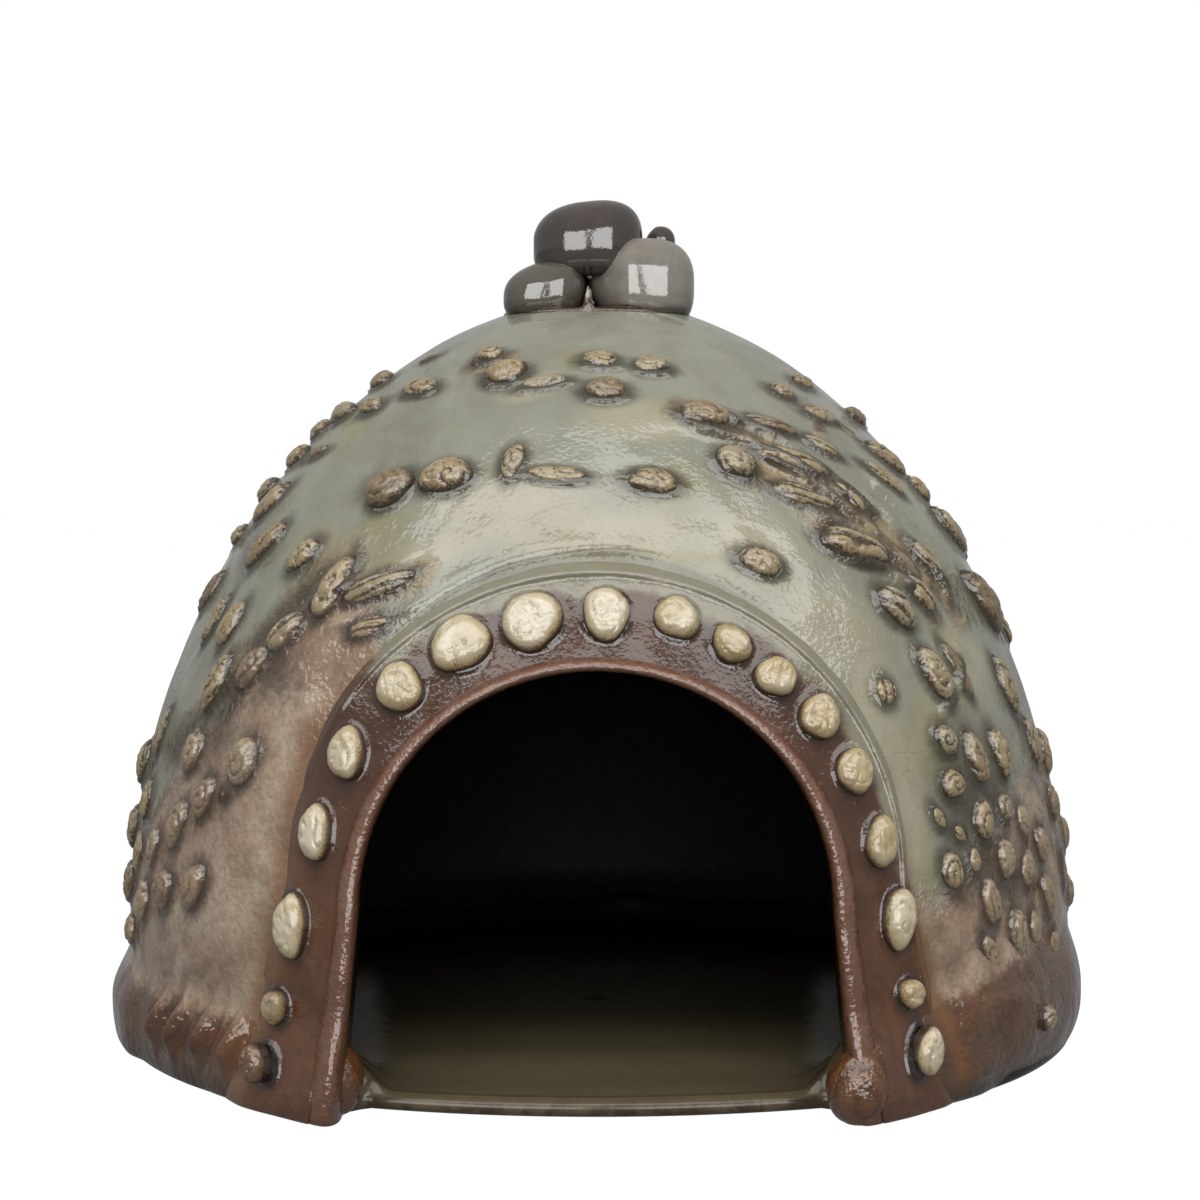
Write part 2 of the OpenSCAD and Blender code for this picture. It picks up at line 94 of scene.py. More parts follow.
class ToadHouseSizes(bpy.types.PropertyGroup):
    """The sizes that the pieces share."""

    wall_radius: length("Wall radius", "Radius of the wall's upright foot", 0.0865)
    foot_height: length("Foot height", "Height of the wall's upright foot", 0.016)
    dome_height: length("Dome height", "Height at which the dome's curve would close", 0.134)
    crown_height: length("Crown height", "Height of the flat under the knob",
                         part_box("knob_pad")[0].z)
    crown_power: bpy.props.FloatProperty(
        name="Crown power", description="0.5 is an ellipse and more is more pointed",
        default=0.55, min=0.5, max=0.7)
    wall_thickness: length("Wall thickness", "Thickness of the wall", 0.005)
    roof_thickness: length("Roof thickness", "Clay above the chamber", 0.006)
    floor_top: length("Floor top", "Height of the floor's upper face",
                      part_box("floor_slab")[1].z)
    floor_radius: length("Floor radius", "Radius of the floor slab",
                         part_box("floor_slab")[1].x)
    sill_reach: length("Sill reach", "Distance from the middle to the sill", 0.0768)
    sill_radius: length("Sill radius", "Radius of the sill's curve", 0.125)
    door_height: length("Doorway height", "Height of the opening", 0.0704)
    door_radius: length("Doorway radius", "Radius of the opening's round head", 0.037)
    door_foot: length("Doorway foot", "Half width of the opening at the floor", 0.040)
    bead_top: length("Bead at the top", "Width of the bead at the top", 0.0024)
    bead_side: length("Bead at the side", "Width of the bead beside the head", 0.004)
    bead_foot: length("Bead at the foot", "Width of the bead at the floor", 0.0055)
    bead_proud: length("Bead height", "How far the bead stands out", 0.0032)
    band_top: length("Band at the top", "Width of the band at the top", 0.014)
    band_side: length("Band at the side", "Width of the band beside the head", 0.0085)
    band_foot: length("Band at the foot", "Width of the band at the floor", 0.012)
    band_proud: length("Band height", "How far the band stands out", 0.0018)
    roll_proud: length("Roll reach", "How far the foot roll stands out", 0.0035)
    unevenness: length("Unevenness", "How far the hand-built wall wanders", 0.0005)


class ToadHouseColours(bpy.types.PropertyGroup):
    """The glaze colours."""

    celadon: colour("Celadon", "Grey-green glaze", paint(147, 147, 131))
    celadon_deep: colour("Deep celadon", "Grey-green glaze where it lies thick",
                         paint(119, 118, 101))
    cream: colour("Cream", "Pale patches in the glaze", paint(190, 179, 150))
    moss: colour("Moss", "Green-yellow tinge of the glaze", paint(148, 141, 104))
    olive: colour("Olive", "Dark glaze that pools round the pellets", paint(57, 50, 37))
    clay: colour("Clay", "Pinkish clay where the glaze is thin", paint(158, 134, 112))
    clay_pale: colour("Pale clay", "Pale mottling on the clay", paint(192, 175, 152))
    umber: colour("Umber", "Brown where iron breaks through", paint(90, 73, 54))
    iron: colour("Iron", "Iron-brown foot and band", paint(94, 58, 37))
    iron_dark: colour("Dark iron", "Darkest iron brown", paint(55, 40, 33))
    iron_light: colour("Light iron", "Rust on edges", paint(122, 83, 52))
    bead: colour("Bead", "Red-brown bead", paint(98, 63, 45))
    bead_light: colour("Light bead", "Pinkish top of the bead", paint(142, 106, 88))
    shell: colour("Shell", "Cream of the doorway pebbles", paint(214, 204, 180))
    shell_gold: colour("Golden shell", "Tan of the darker doorway pebbles",
                       paint(176, 156, 114))
    shell_dark: colour("Dark shell", "Grooves in the doorway pebbles", paint(120, 98, 64))
    pellet: colour("Pellet", "Worn tops of the wall pellets", paint(166, 149, 114))
    pellet_grey: colour("Grey pellet", "Glazed tops of the wall pellets",
                        paint(158, 148, 120))
    pellet_dark: colour("Dark pellet", "Grooves and skirts of the wall pellets",
                        paint(66, 54, 40))
    floor: colour("Floor", "Olive-brown floor", paint(99, 89, 68))
    # Painted light: the paler floor just inside the doorway.
    painted_floor_light: colour("Pale floor", "Floor just inside the doorway", paint(150, 136, 105))
    # Painted light: a grey strip on the floor beside each jamb, standing for the lit jamb.
    painted_jamb_light: colour("Slate", "Grey glaze beside the doorway", paint(176, 172, 164))
    # Near black: painted shade inside the chamber and deep in the floor; it also darkens the
    # seams round the doorway pebbles and the knob's pad.
    inside: colour("Inside", "Dark glaze inside the chamber", paint(14, 12, 11))
    stone_dark: colour("Dark stone", "Brown-grey stone", paint(72, 63, 57))
    stone_olive: colour("Olive stone", "Olive-grey stone", paint(92, 87, 77))
    stone_grey: colour("Grey stone", "Pale grey stone", paint(140, 134, 124))
    seam: colour("Seam", "Dark glaze between the stones", paint(42, 36, 31))
    rust: colour("Rust", "Clay of the doorway's feet", paint(100, 66, 42))


def sizes():
    """The sizes in use."""
    return bpy.context.scene.toad_house_sizes


def colours():
    """The colours in use."""
    return bpy.context.scene.toad_house_colours


# ---- Shapes ----


def lumps(points, size, seed):
    """Smooth random heights from -1 to 1 at points: a cube lattice of random numbers, size
    apart, blended between its eight nearest corners with weights 3t^2 - 2t^3."""
    side, shift = 24, 500.37  # the lattice repeats after side cells; shift is any offset
    table = np.random.default_rng(seed).uniform(-1, 1, (side, side, side))
    place = points / size + shift
    cell = np.floor(place).astype(int)
    share = place - cell
    share = share * share * (3 - 2 * share)
    height = np.zeros(points.shape[:-1])
    for corner in np.ndindex(2, 2, 2):
        weight = np.prod(np.where(corner, share, 1 - share), axis=-1)
        i = (cell + corner) % side
        height += weight * table[i[..., 0], i[..., 1], i[..., 2]]
    return height


def smooth(value, low, high):
    """0 below low and 1 above high, with the curve 3t^2 - 2t^3 between them."""
    t = np.clip((value - low) / (high - low), 0, 1)
    return t * t * (3 - 2 * t)


def between(value, stops):
    """Value on the straight lines between stops, each a place and its value."""
    return np.interp(value, *zip(*stops))


def dome_radius(z, out=0.0):
    """Radius of the dome at height z, moved out by out: the foot's radius times one minus the
    square of the share of the curve's height, raised to the crown's power."""
    s = sizes()
    share = np.clip(z - s.foot_height, 0, None) / (s.dome_height + out - s.foot_height)
    return (s.wall_radius + out) * np.clip(1 - share ** 2, 1e-9, None) ** s.crown_power


def chamber_radius(z):
    """Radius of the chamber at height z, by the same rule as the dome."""
    s = sizes()
    share = np.clip(z - s.foot_height, 0, None) / (
        s.crown_height - s.roof_thickness - s.foot_height)
    return (s.wall_radius - s.wall_thickness) * np.clip(
        1 - share ** 2, 0, None) ** s.crown_power


def dome_lean(z):
    """Angle above level of the dome's outward direction at height z, from its slope."""
    step = 1e-5
    slope = (dome_radius(z - step) - dome_radius(z + step)) / (2 * step)
    return np.arctan(slope)


def round_dome(azimuth, z, out):
    """Point on the dome at an azimuth from -Y towards +X and a height, moved out level."""
    radius = dome_radius(z, out)
    azimuth, z, radius = np.broadcast_arrays(azimuth, z, radius)
    return np.stack([radius * np.sin(azimuth), -radius * np.cos(azimuth), z], -1)


def hand(points):
    """How far the hand-built wall lies outside the true dome: lumps of three sizes added,
    each with its own share."""
    return sizes().unevenness * sum(
        share * lumps(points, size, seed)
        for share, size, seed in ((0.8, 0.034, 11), (0.45, 0.013, 12), (0.16, 0.005, 13)))


def through_front(x, z, out):
    """Point at x and z run forward from the middle to the dome, moved out by out and by the
    hand-built unevenness: y is minus the square root of radius squared less x squared."""
    reach = np.sqrt(np.clip(dome_radius(z) ** 2 - x ** 2, 0, None))
    nominal = np.stack(np.broadcast_arrays(x, -reach, z), -1)
    radius = dome_radius(z, out + hand(nominal))
    y = -np.sqrt(np.clip(radius ** 2 - x ** 2, 0, None))
    return np.stack(np.broadcast_arrays(x, y, z), -1)


HEAD_SHARE = 0.6  # Share of an arch's run that its round head takes


def arch(turn, top, radius, foot, low=0.0):
    """Points x and z of a round-headed arch. turn runs from -1 at the left foot over 0 at the
    top to 1 at the right foot; the round head takes the middle of it and the legs the rest."""
    head = top - radius
    angle = np.clip(turn / HEAD_SHARE, -1, 1) * math.pi / 2
    down = np.clip((np.abs(turn) - HEAD_SHARE) / (1 - HEAD_SHARE), 0, 1)
    z = head + radius * np.cos(angle)
    z = np.where(down > 0, head + (low - head) * down, z)
    width = radius + (foot - radius) * np.clip(1 - z / head, 0, None)
    x = np.where(down > 0, np.sign(turn) * width, radius * np.sin(angle))
    return x, z


def door_arch(turn, grow=0.0, low=0.0):
    """The opening's edge, grown by grow."""
    s = sizes()
    return arch(turn, s.door_height + grow, s.door_radius + grow, s.door_foot + grow, low)


def bead_arch(turn, low=0.0):
    """The line where bead and band meet."""
    s = sizes()
    return arch(turn, s.door_height + s.bead_top, s.door_radius + s.bead_side,
                s.door_foot + s.bead_foot, low)


def band_arch(turn, share=1.0, low=0.0):
    """A line on the band: share is 0 at the bead and 1 at the outer edge."""
    s = sizes()
    return arch(turn, s.door_height + s.bead_top + share * s.band_top,
                s.door_radius + s.bead_side + share * s.band_side,
                s.door_foot + s.bead_foot + share * s.band_foot, low)


def past_band(x, z):
    """How far a point at x and z, seen from the front, lies outside the band's outer edge:
    the distance to its head's centre less its radius, or below the head the width past the
    leg's."""
    s = sizes()
    radius = s.door_radius + s.bead_side + s.band_side
    head = s.door_height + s.bead_top + s.band_top - radius
    foot = s.door_foot + s.bead_foot + s.band_foot
    leg = radius + (foot - radius) * np.clip(1 - z / head, 0, 1)
    return np.where(z > head, np.hypot(x, z - head) - radius, np.abs(x) - leg)


def band_margin(points):
    """How near points of the dome are to the outside of the band's legs, 1 at its edge. It
    falls as exp(-distance^2), over 2.8 mm on the left and 1.4 mm on the right."""
    x, y, z = points[..., 0], points[..., 1], points[..., 2]
    near = np.exp(-(past_band(x, z) / np.where(x < 0, 0.0028, 0.0014)) ** 2)
    return near * (y < 0) * smooth(np.where(x < 0, 0.080, 0.050) - z, 0, 0.02)


def band_lip(points):
    """How the wall's glaze rolls over the band's upper edge, at points of the dome: masks of
    a raised lip, of the dark seam inside it and of the grey veil on the band. The lip keeps a
    wavering distance from the edge, and its strength varies by lumps and fades on the
    right."""
    x, y, z = points[..., 0], points[..., 1], points[..., 2]
    top = smooth(z, 0.060, 0.080) + smooth(x, 0.03, 0.04) * smooth(z, 0.02, 0.05)
    front = np.clip(top, 0, 1) * (y < 0)
    off = past_band(x, z) - 0.0026 * np.exp(-((x + 0.004) / 0.022) ** 2)
    off = off + 0.0006 * lumps(points, 0.013, 34)
    off = off + 0.0009 * lumps(points, 0.030, 35)
    strength = np.clip(0.75 + 0.55 * lumps(points, 0.014, 36), 0, 1)
    strength *= (1 - 0.55 * smooth(x, 0.004, 0.016)) * (1 - 0.9 * smooth(x, 0.026, 0.038))
    lip = front * strength * np.exp(-((off - 0.0014) / 0.0012) ** 2)
    seam = front * strength * np.exp(-(off / 0.0006) ** 2)
    veil = front * smooth(-off, -0.0002, 0.0006) * smooth(x, -0.042, -0.026) * (
        1 - smooth(x, 0.024, 0.038))
    return lip, seam, veil


def toe(z):
    """How far the clay swells at the doorway's feet at height z: 4.6 mm near the ground,
    none above 19 mm, and a little rounded under."""
    return 0.0046 * smooth(0.0190 - z, 0, 0.0160) - 0.0007 * np.clip(
        1 - z / 0.0022, 0, 1) ** 2


def grid_faces(rows, columns, start=0):
    """Four-cornered faces of rings of points, numbered ring by ring from start."""
    row, column = np.meshgrid(np.arange(rows - 1), np.arange(columns), indexing="ij")
    after = (column + 1) % columns
    return (start + np.stack([row * columns + column, row * columns + after,
                              (row + 1) * columns + after, (row + 1) * columns + column],
                             -1).reshape(-1, 4))


def fan_faces(ring, pole, flip=False):
    """Three-cornered faces from a closed ring of point numbers to one pole."""
    after = np.roll(ring, -1)
    both = (after, ring) if flip else (ring, after)
    return np.stack([*both, np.full(len(ring), pole)], -1)


def closed_faces(rows, around, down=False):
    """Faces of rings that close at two poles, which come after the rings: the first ring's
    and then the last ring's. The rings lie upwards in their order, or downwards."""
    ring = np.arange(around)
    sides = grid_faces(rows, around)
    ends = [fan_faces(ring, rows * around, flip=not down),
            fan_faces(ring + (rows - 1) * around, rows * around + 1, flip=down)]
    return [sides[:, ::-1] if down else sides, np.concatenate(ends)]


def tube(points):
    """Points and faces of a tube whose first axis is its closed profile, with ends closed."""
    count, columns = points.shape[:2]
    index = np.arange(count * columns).reshape(count, columns)
    after = np.roll(index, -1, 0)
    faces = np.stack([index[:, :-1], index[:, 1:], after[:, 1:], after[:, :-1]],
                     -1).reshape(-1, 4)
    ends = np.stack([points[:, 0].mean(0), points[:, -1].mean(0)])
    all_points = np.concatenate([points.reshape(-1, 3), ends])
    caps = np.concatenate([fan_faces(index[:, 0], len(all_points) - 2),
                           fan_faces(index[:, -1], len(all_points) - 1, flip=True)])
    return all_points, [faces, caps]


def padded(values, count):
    """Each attribute as one row, with count zeros for the points that close the mesh."""
    return {key: np.append(value.ravel(), np.zeros(count)) for key, value in values.items()}


def piece(name, points, faces, material, nodes, values=None):
    """A closed, smooth mesh object at the origin that stands for CAD nodes. faces is a list
    of whole arrays of three-cornered and four-cornered faces, and values holds one number a
    point for each attribute that the material reads."""
    mesh = bpy.data.meshes.new(name)
    points = np.asarray(points, np.float32).reshape(-1, 3)
    corners = np.concatenate([f.ravel() for f in faces]).astype(np.int32)
    counts = np.concatenate([np.full(len(f), f.shape[1]) for f in faces]).astype(np.int32)
    starts = np.concatenate([[0], np.cumsum(counts)[:-1]]).astype(np.int32)
    mesh.vertices.add(len(points))
    mesh.vertices.foreach_set("co", points.ravel())
    mesh.loops.add(len(corners))
    mesh.loops.foreach_set("vertex_index", corners)
    mesh.polygons.add(len(counts))
    mesh.polygons.foreach_set("loop_start", starts)
    for key, numbers in (values or {}).items():
        attribute = mesh.attributes.new(key, "FLOAT", "POINT")
        attribute.data.foreach_set("value", np.asarray(numbers, np.float32).ravel())
    mesh.update(calc_edges=True)
    mesh.validate()
    mesh.shade_smooth()
    mesh.materials.append(material)
    made = bpy.data.objects.new(name, mesh)
    bpy.context.scene.collection.objects.link(made)
    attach(made, "root")
    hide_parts(*nodes)
    return made


# ---- Places of the pressed pellets, read from the CAD solids ----


def solids_of(node):
    """The separate solids of a CAD node as arrays of points. Loose triangles that share a
    corner's place are one solid: each corner takes the lowest number among its triangles'
    corners until nothing changes."""
    mesh = frame["nodes"][node].data
    place = np.zeros(len(mesh.vertices) * 3)
    mesh.vertices.foreach_get("co", place)
    place = place.reshape(-1, 3)
    mesh.calc_loop_triangles()
    triangle = np.zeros(len(mesh.loop_triangles) * 3, int)
    mesh.loop_triangles.foreach_get("vertices", triangle)
    keys, same = np.unique(np.round(place * 1e6).astype(int), axis=0, return_inverse=True)
    triangle = same.reshape(-1)[triangle].reshape(-1, 3)
    label = np.arange(len(keys))
    while True:
        low = label[triangle].min(1)
        after = label.copy()
        np.minimum.at(after, triangle.ravel(), np.repeat(low, 3))
        after = after[after]
        if np.array_equal(after, label):
            break
        label = after
    return [keys[label == one] / 1e6 for one in np.unique(label)]


def seat_of(points):
    """Where a solid sits on the dome: the middle of its seat, the directions along it, across
    it and outwards, and its length, width and height. The length is the widest reach of any
    direction on the dome's face, tried every 3 degrees."""
    middle = points.mean(0)
    azimuth = math.atan2(middle[0], -middle[1])
    lean = float(dome_lean(middle[2]))
    right = np.array([math.cos(azimuth), math.sin(azimuth), 0])
    out = np.array([math.sin(azimuth) * math.cos(lean), -math.cos(azimuth) * math.cos(lean),
                    math.sin(lean)])
    up = np.cross(out, right)
    flat = np.stack([(points - middle) @ right, (points - middle) @ up], -1)
    rise = (points - middle) @ out
    turns = np.radians(np.arange(0, 180, 3))
    reach = flat @ np.stack([np.cos(turns), np.sin(turns)])
    best = turns[np.argmax(reach.max(0) - reach.min(0))]
    along = right * math.cos(best) + up * math.sin(best)
    across = np.cross(out, along)
    a, b = (points - middle) @ along, (points - middle) @ across
    centre = (middle + along * (a.max() + a.min()) / 2 + across * (b.max() + b.min()) / 2
              + out * rise.min())
    return centre, along, across, out, np.ptp(a), np.ptp(b), np.ptp(rise)


def oval(long, wide, high, seed, look):
    """Points of a hand-pressed pellet, its seat in X and Y. look holds its count of points
    around and of rows, its roundness, the turns of its coil, the strength of coil, fold and
    wrinkle, and how far it grows past its CAD solid. The outline is an ellipse that
    three waves make uneven. Each row lies on it at the cosine of its angle to the power
    look.round, and at the sine's height. A coil is sunk where a wave of the angle about an
    off-centre point plus the distance from it dips, folds where a wave across the pellet
    does, and wrinkles where lumps cross zero. Also gives how worn each point is, 1 on top
    and 0 in grooves and at the skirt, and how far out it is, 1 at the outline."""
    chance = np.random.default_rng(seed)
    turn = np.linspace(0, 2 * math.pi, look["around"], endpoint=False)
    angle = np.linspace(-0.35, math.pi / 2, look["rows"] + 1)[:-1, None]
    phase = chance.uniform(0, 2 * math.pi, 5)
    outline = (1 + 0.05 * np.cos(2 * turn + phase[0]) + 0.04 * np.cos(3 * turn + phase[1])
               + 0.015 * np.cos(5 * turn + phase[2]))
    outline = outline / outline.max()
    ring = np.cos(angle) ** look["round"]
    x = np.append((outline * ring * np.cos(turn)).ravel(), 0)
    y = np.append((outline * ring * np.sin(turn)).ravel(), 0)
    rise = np.append(np.repeat(np.sin(angle), look["around"]), 1)
    out = np.append(np.repeat(ring, look["around"]), 0)
    body = np.stack([x * long / 0.008, y * wide / 0.008, rise * 0.3], -1) + seed % 97
    off = chance.uniform(-0.3, 0.3, 2)
    apart = np.hypot(x - off[0], y - off[1]) + 0.10 * lumps(body, 0.5, seed)
    swirl = np.arctan2(y - off[1], x - off[0])
    coil = smooth(np.cos(apart * 2 * math.pi * look["turns"] - swirl + phase[3]), 0.2, 1.0)
    fold = smooth(np.cos((y + 0.18 * lumps(body, 0.55, seed + 1)) * math.pi * 2.6
                         + phase[4]), 0.1, 1.0)
    patchy = smooth(lumps(body, 0.6, seed + 2), -0.5, 0.4)
    wrinkle = 1 - smooth(np.abs(lumps(body, 0.28, seed + 3)), 0.0, 0.35)
    groove = (look["coil"] * coil * patchy + look["fold"] * fold
              + look["wrinkle"] * wrinkle * (1 - 0.6 * patchy))
    groove = np.clip(groove, 0, 1) * smooth(rise, 0.0, 0.5)
    high_here = rise * (1 + 0.10 * lumps(body, 0.9, seed + 4)) - 0.17 * groove
    worn = smooth(rise + 0.15 * lumps(body, 0.5, seed + 5), 0.15, 0.85)
    points = np.stack([x * long / 2, y * wide / 2, high_here * high], -1)
    return points, worn * (1 - 0.9 * groove), out


def oval_faces(around, rows, start):
    """Faces of one oval: its rows, its top and a flat closed underside."""
    ring = start + np.arange(around)
    last = start + (rows - 1) * around + np.arange(around)
    top = start + rows * around
    under = top + 1
    return (grid_faces(rows, around, start),
            np.concatenate([fan_faces(last, top), fan_faces(ring, under, flip=True)]))


def pressed(seats, look, seed, sink=0.0002, taller=1.0):
    """Points, faces and attributes of several ovals, each turned on to its seat, sunk into
    it and made taller. tint is one random tone for each oval."""
    around, rows = look["around"], look["rows"]
    points, fours, threes = [], [], []
    values = {"worn": [], "tint": [], "skirt": []}
    start = 0
    for i, (centre, along, across, out, long, wide, high) in enumerate(seats):
        shape, worn, edge = oval(long * look["grow"], wide * look["grow"], high * taller,
                                 seed + 17 * i, look)
        shape = np.concatenate([shape, shape[:around].mean(0)[None]])
        rise = shape[:, 2:3] - sink + hand(centre[None])[0]
        points.append(centre + shape[:, :1] * along + shape[:, 1:2] * across + rise * out)
        four, three = oval_faces(around, rows, start)
        fours.append(four)
        threes.append(three)
        start += len(shape)
        tone = np.random.default_rng(seed + i).uniform()
        values["worn"].append(np.append(worn, 0))
        values["skirt"].append(np.append(edge, 1))
        values["tint"].append(np.full(len(shape), tone))
    values = {key: np.concatenate(value) for key, value in values.items()}
    return np.concatenate(points), [np.concatenate(fours), np.concatenate(threes)], values


WALL_NODES = sorted(n for n in frame["nodes"] if n.startswith("pebbles_"))
DOOR_NODES = sorted(n for n in frame["nodes"] if n.startswith("door_pebble_"))
PLEAT_NODES = sorted(n for n in frame["nodes"] if n.startswith("roll_pleat_"))


def near_pellets(points, seats, reach):
    """How near each point is to a pellet's outline: 1 on it or inside and 0 at reach. The
    distance is the ellipse's own distance share, less one, times half its mean width."""
    near = np.zeros(points.shape[:-1])
    for centre, along, across, _, long, wide, _ in seats:
        close = np.abs(points - centre).max(-1) < long / 2 + reach
        gap = points[close] - centre
        share = np.hypot(gap @ along / (long / 2), gap @ across / (wide / 2))
        apart = np.clip(share - 1, 0, None) * (long + wide) / 4
        near[close] = np.maximum(near[close], 1 - np.clip(apart / reach, 0, 1))
    return near


# Millimetres up the wall that count as much as one degree round it
DEGREE = 1.2


def blob(azimuth, z, spot):
    """Soft spot on the wall, 1 in its middle. spot is its azimuth, height, reach round the
    wall, reach up it and lean, in degrees and millimetres; it falls as exp(-distance^2)."""
    at, high, wide, tall, lean = spot
    across = np.degrees(azimuth) - at
    up = z * 1000 - high
    turn = math.radians(lean)
    a = across * math.cos(turn) + up * math.sin(turn)
    b = -across * math.sin(turn) + up * math.cos(turn)
    return np.exp(-(a / wide) ** 2 - (b / tall) ** 2)


def spots(azimuth, z, places):
    """The strongest of several soft spots at each point."""
    return np.max([blob(azimuth, z, spot) for spot in places], axis=0)


def strokes(azimuth, z, paths):
    """The strongest of several brush strokes at each point. A path is its half width and the
    azimuths and heights that it runs through, in degrees and millimetres. It falls as
    exp(-distance^2), the distance being to the nearest straight run."""
    here = np.stack([np.degrees(azimuth) * DEGREE, z * 1000], -1)
    best = np.zeros(here.shape[:-1])
    for width, *stops in paths:
        line = np.array(stops, float) * [DEGREE, 1]
        for a, b in zip(line[:-1], line[1:]):
            share = np.clip((here - a) @ (b - a) / ((b - a) @ (b - a)), 0, 1)
            apart = np.linalg.norm(here - a - share[..., None] * (b - a), axis=-1)
            best = np.maximum(best, np.exp(-(apart / width) ** 2))
    return best


# Azimuth, height, reach round, reach up and lean of the soft spots of cream glaze
# The spots just above the arch also paint part of the sheen there as cream, a painted highlight.
CREAM_AND_SHEEN_SPOTS = [(-14, 96, 16, 7, 0), (2, 91, 18, 6, 0), (-23, 89, 8, 4, 10),
               (22, 90, 12, 8, -15), (30, 77, 9, 9, -50), (35, 66, 5, 9, 0),
               (37.5, 45, 3, 22, 0), (36, 58, 5, 5, 0), (43, 25, 6, 7, 0),
               (-14, 116, 7, 2.5, 10), (9, 110, 14, 4, 0), (56, 70, 6, 9, 0),
               (150, 70, 22, 16, 10), (-150, 95, 24, 14, -10), (-120, 60, 14, 12, 0),
               (100, 96, 18, 10, 10)]
# The same of the soft spots of moss glaze
MOSS_SPOTS = [(13, 99, 7, 5, -10), (43, 60, 5, 10, 0), (-33, 92, 7, 6, 0),
              (24, 86, 6, 3, 0), (-45, 90, 8, 4, 0),
              (20, 112, 9, 3, 0), (-3, 121, 9, 2, 0), (39, 38, 2, 12, 0), (52, 72, 5, 9, 0),
              (8, 88, 18, 1.5, 0), (-60, 108, 10, 5, 0), (135, 80, 12, 10, 0),
              (-170, 60, 14, 12, 0)]
# Half width and stops of the brushed streaks of umber
UMBER_STROKES = [(3.4, (17, 112), (26, 108), (34, 105), (40, 100), (46, 94), (53, 88),
                  (60, 82)),
                 (4.4, (28, 103), (36, 99), (42, 95), (47, 89), (54, 84), (58, 78)),
                 (3.4, (36, 92), (43, 89), (50, 84), (52, 78)),
                 (3.0, (-24, 85), (-34, 82), (-42, 79)),
                 (5.0, (-38, 87), (-45, 80), (-50, 71), (-57, 62), (-63, 55)),
                 (1.6, (48, 108), (55, 113), (62, 108)), (3.0, (-24, 120), (-36, 121)),
                 (3.0, (50, 40), (56, 32), (62, 30)), (4.0, (66, 48), (72, 36), (80, 30)),
                 (5.0, (100, 70), (112, 60), (126, 66)), (5.0, (-96, 92), (-108, 84), (-118, 70)),
                 (4.0, (160, 50), (172, 44), (180, 47)), (5.0, (-140, 54), (-150, 44))]
# Half width and stops of the raised folds in the glazed clay
FOLDS = [(1.1, (19, 109), (28, 107.5), (36, 104), (43, 98)),
         (1.0, (24, 112.5), (35, 108), (43, 102), (49, 95)),
         (1.1, (31, 104), (39, 99.5), (46, 92), (51, 86)),
         (1.0, (35, 95), (42, 92.5), (48, 88), (51, 84)),
         (1.2, (36, 90), (42, 87), (48, 83)), (1.0, (50, 97), (55, 89), (58, 80)),
         (1.0, (54, 100), (59, 92), (63, 84)), (1.0, (-27, 87.5), (-34, 84), (-41, 80)),
         (0.9, (-24, 80), (-30, 79), (-36, 76.5)), (0.8, (46, 62), (51, 66), (54, 72))]
# Half width and stops of the dark pool between clay and celadon on the left
POOL_STROKES = [(4.6, (-41, 84), (-46, 77), (-51, 68), (-58, 60), (-63, 54))]
# Azimuth, height, reach round, reach up and lean of the soft spots of pooled glaze
POOL_SPOTS = [(50, 48, 10, 12, 0), (47, 36, 8, 7, 0), (54, 33, 7, 6, 0), (-45, 70, 7, 8, 30),
              (-52, 62, 5, 10, 0), (-36, 99, 9, 4, 0), (-62, 88, 8, 5, 0)]

# Azimuth and height, in degrees and millimetres, of the line below which the clay shows
CLAY_LINE = [(-180, 22), (-150, 27), (-120, 20), (-95, 24), (-80, 25), (-70, 33), (-61, 50),
             (-52, 63), (-41, 80), (-34, 83), (-20, 60), (20, 20), (34, 30), (42, 35),
             (50, 38), (60, 47), (72, 51), (88, 45), (105, 24), (130, 28), (155, 20),
             (180, 22)]
# The same of the line below which the foot's brown glaze lies
FOOT_LINE = [(-180, 15), (-120, 14), (-85, 15), (-70, 15), (-60, 12), (-50, 12), (-41, 12),
             (41, 16), (50, 20.5), (60, 23), (75, 21), (90, 17), (130, 13), (180, 15)]


def clay_share(azimuth, z):
    """Where the clay shows: below its line, which runs down and away from each side of the
    doorway, with an edge 16 mm wide."""
    degrees = np.degrees((azimuth + math.pi) % (2 * math.pi) - math.pi)
    return smooth(between(degrees, CLAY_LINE) - z * 1000, -8, 8)


def foot_share(azimuth, z, points):
    """Where the foot's brown glaze lies: below its line, which wavers by lumps of two sizes,
    with an edge 6.4 mm wide."""
    line = between(np.degrees(azimuth), FOOT_LINE) / 1000
    waver = 0.0020 * lumps(points, 0.016, 5) + 0.0008 * lumps(points, 0.005, 6)
    return smooth(line + waver - z, -0.0032, 0.0032)


# ---- Shader nodes ----


